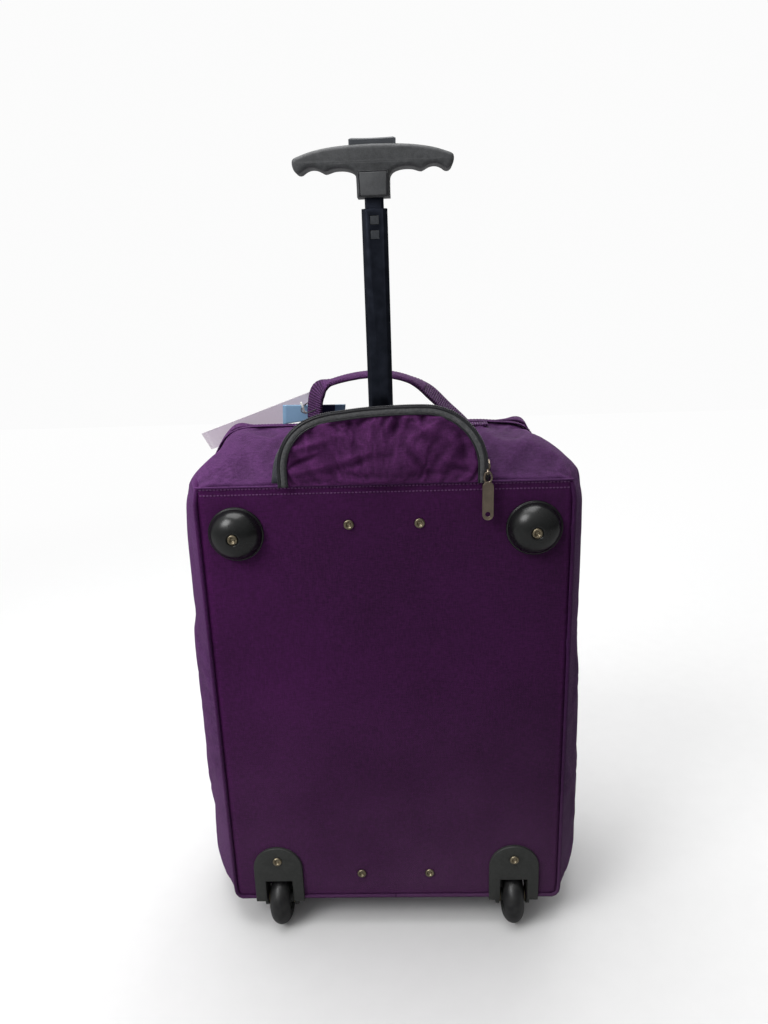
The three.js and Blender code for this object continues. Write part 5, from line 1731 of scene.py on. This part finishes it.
def wheel(side, sign):
    """A tyre with a rounded, banded tread and a spoked hub."""
    body, centre = f"wheel_{side}", (sign * WHEEL_X, WHEEL_Y, WHEEL_Z)
    tread = [(14.0 + 14.0 * math.cos(a), 11.4 * math.sin(a)) for a in np.linspace(-1.5, 1.5, 25)]
    tread = [(17.0, -10.6)] + [p for p in tread if p[0] > 17.2] + [(17.0, 10.6)]
    turned_piece(f"tyre_{side}", smooth_profile(tread, 2), "x", centre, 96, "tread",
                 body, "wheel_rubber", f"wheel_tyre_{side}")
    rim = mirrored([(3.4, -12.4), (6.0, -12.4), (6.8, -9.0), (7.2, -6.0), (13.2, -6.0), (14.0, -9.4),
                    (15.2, -10.2), (17.2, -10.0)])
    turned_piece(f"hub_{side}", rim, "x", centre, 64, "housing",
                 body, "housing_plastic", f"wheel_hub_{side}", sharp=35)
    spokes = []
    cx, cy, cz = centre
    for k in range(6):
        for near, far in ((-8.6, -5.6), (5.6, 8.6)):
            spoke = box_part(cx + near, cx + far, cy - 1.1, cy + 1.1, cz + 6.4, cz + 14.2)
            spokes.append(turned_part(spoke, math.pi * k / 3, centre))
    piece(f"spokes_{side}", spokes, "housing", body, "housing_plastic", soft=(0.4,))


AXLE_END = 18.0


def axle(side, sign):
    """The axle's pin and the steel washers beside the wheel."""
    washer = mirrored([(3.2, -0.8), (7.0, -0.8), (7.4, -0.4)])
    for place, at in (("inner", -13.1), ("outer", 13.1)):
        where = (sign * WHEEL_X + at, WHEEL_Y, WHEEL_Z)
        turned_piece(f"washer_{place}_{side}", washer, "x", where, 32, "steel", "case", "bright_metal")
    head = [(0.01, 1.6), (3.4, 1.5), (4.3, 0.9), (4.5, 0.0), (3.0, -0.1)]
    pin = mirrored([(radius, -AXLE_END - along) for radius, along in head])
    where = (sign * WHEEL_X, WHEEL_Y, WHEEL_Z)
    turned_piece(f"axle_pin_{side}", pin, "x", where, 32, "steel",
                 "case", "bright_metal", f"axle_{side}", closed=False, sharp=50)


def kept_nodes():
    """The CAD nodes shown as they are, with a real material and slightly rounded edges."""
    for material, width, nodes in (
        ("pole", 0.3, "outer_tube inner_tube"), ("pole", 0.35, "middle_tube"), ("button", 0.25, "lock_leaf"),
        ("gloss", 0.5, "pole_bezel"), ("lining", 0.3, "pocket_liner"), ("lining", 0, "inner_lining"),
        ("button", 0, "back_board"), ("housing", 0.8, "stand_foot_left stand_foot_right"),
        ("housing", 0.5, "pole_bracket_top pole_bracket_bottom wheel_housing_left wheel_housing_right"),
    ):
        for node in nodes.split():
            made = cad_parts[node]
            made.data.materials.clear()
            made.data.materials.append(MAT[material])
            if width:
                bevel(made, width, 2, 35)


# ------------------------------------------------------------------ stage, light and camera


FLOOR_SIZE = 6.0
BACKDROP = 0.97


def stage():
    """A pale floor that fades into a white backdrop for the camera, and stays darker for the light."""
    bpy.ops.mesh.primitive_plane_add(size=FLOOR_SIZE, location=(0, 0, 0))
    floor = bpy.context.object
    floor.name = "studio_floor"
    s = Shader("studio_floor", roughness=0.7, specular=0.1)
    seen = s.node("ShaderNodeLightPath").outputs["Is Camera Ray"]
    away = s.vmath("MULTIPLY", s.coords.outputs["Object"], (1, 1, 0))
    reach = s.feed(s.node("ShaderNodeVectorMath", operation="LENGTH"), i0=away).outputs["Value"]
    blank = s.math("MULTIPLY", s.remap(reach, 0.5, 1.9, interpolation_type="SMOOTHSTEP"), seen)
    pale = s.ramp(s.noise(40, 3.0), 0.0, (0.80, 0.80, 0.80), 1.0, (0.83, 0.83, 0.83))
    near = s.mix(seen, (0.34, 0.34, 0.34), pale)
    s.set("Base Color", s.mix(blank, near, (0.0, 0.0, 0.0)))
    s.set("Emission Color", (1, 1, 1, 1))
    s.set("Emission Strength", s.math("MULTIPLY", blank, BACKDROP))
    floor.data.materials.append(s.mat)
    bpy.context.scene.view_settings.view_transform = "Standard"


def light():
    """A white world for the camera that lights from above and from the left, and three soft area lights."""
    world = bpy.data.worlds.new("studio")
    bpy.context.scene.world = world
    world.use_nodes = True
    t = Tree(world.node_tree)
    x, _, z = t.split(t.coords.outputs["Generated"])
    sideways = t.math("MULTIPLY_ADD", x, -0.5, i2=1.0)
    graded = t.math("MULTIPLY", t.remap(z, 0.0, 1.0, 0.16, 0.62), sideways)
    seen = t.node("ShaderNodeLightPath").outputs["Is Camera Ray"]
    strength = t.feed(t.node("ShaderNodeMix"), i0=seen, i2=graded, i3=BACKDROP).outputs[0]
    t.feed(t.nt.nodes["Background"], Color=(1, 1, 1, 1), Strength=strength)
    for name, place, target, size, power in (
        ("key", (-1.7, -1.55, 2.3), (0, 0, 0.4), 1.3, 40),
        ("top", (-0.3, 0.2, 2.8), (0, 0, 0.4), 2.0, 46),
        ("front_fill", (0.9, 2.4, 1.7), (0, 0, 0.3), 1.6, 22),
    ):
        lamp = bpy.data.lights.new(name, "AREA")
        lamp.energy, lamp.size = power, size
        made = bpy.data.objects.new(name, lamp)
        made.location = place
        made.rotation_euler = (Vector(target) - Vector(place)).to_track_quat("-Z", "Y").to_euler()
        bpy.context.scene.collection.objects.link(made)


CAMERA_AT = (23.2, -664.3, 664.7)
CAMERA_TURN = (-1.98, 16.89, -1.90)  # yaw, pitch down and roll, in degrees
CAMERA_LENS = 27.04


def camera():
    """The photograph's viewing angle."""
    yaw, pitch, roll = [math.radians(a) for a in CAMERA_TURN]
    forward = Vector((math.sin(yaw) * math.cos(pitch), math.cos(yaw) * math.cos(pitch), -math.sin(pitch)))
    right = Vector((math.cos(yaw), -math.sin(yaw), 0))
    up = right.cross(forward)
    turned_right = right * math.cos(roll) + up * math.sin(roll)
    turned_up = up * math.cos(roll) - right * math.sin(roll)
    lens = bpy.data.cameras.new("camera")
    lens.sensor_width, lens.lens = 36, CAMERA_LENS
    made = bpy.data.objects.new("camera", lens)
    axes = Matrix((turned_right, turned_up, -forward)).transposed().to_4x4()
    made.matrix_world = Matrix.Translation(P(*CAMERA_AT)) @ axes
    bpy.context.scene.collection.objects.link(made)
    bpy.context.scene.camera = made


# ------------------------------------------------------------------ build

body_shells()
main_zip()
fabric_edges()
back_panel()
front_panel()
for pocket, dims in POCKETS.items():
    pocket_pad(pocket, **dims)
handle_flap()
pocket_mouth()
carry_handle()
hang_tags()
pocket_zip_hardware()
front_zip_hardware("lower", -112)
front_zip_hardware("upper", -88)
grip()
release_button()
for side, sign in SIDES:
    side_piping(side, sign)
    main_zip_hardware(side, sign)
    skid_dome(side, sign)
    wheel(side, sign)
    axle(side, sign)
    rivet(f"housing_rivet_{side}", sign * WHEEL_X, -4.7, HOUSING_RIVET_Z, f"rivet_housing_{side}")
for place, (x, _, z) in BRACKET_RIVETS.items():
    rivet(f"bracket_rivet_{place}", x, -1.2, z, f"rivet_bracket_{place}")
kept_nodes()
stage()
light()
camera()
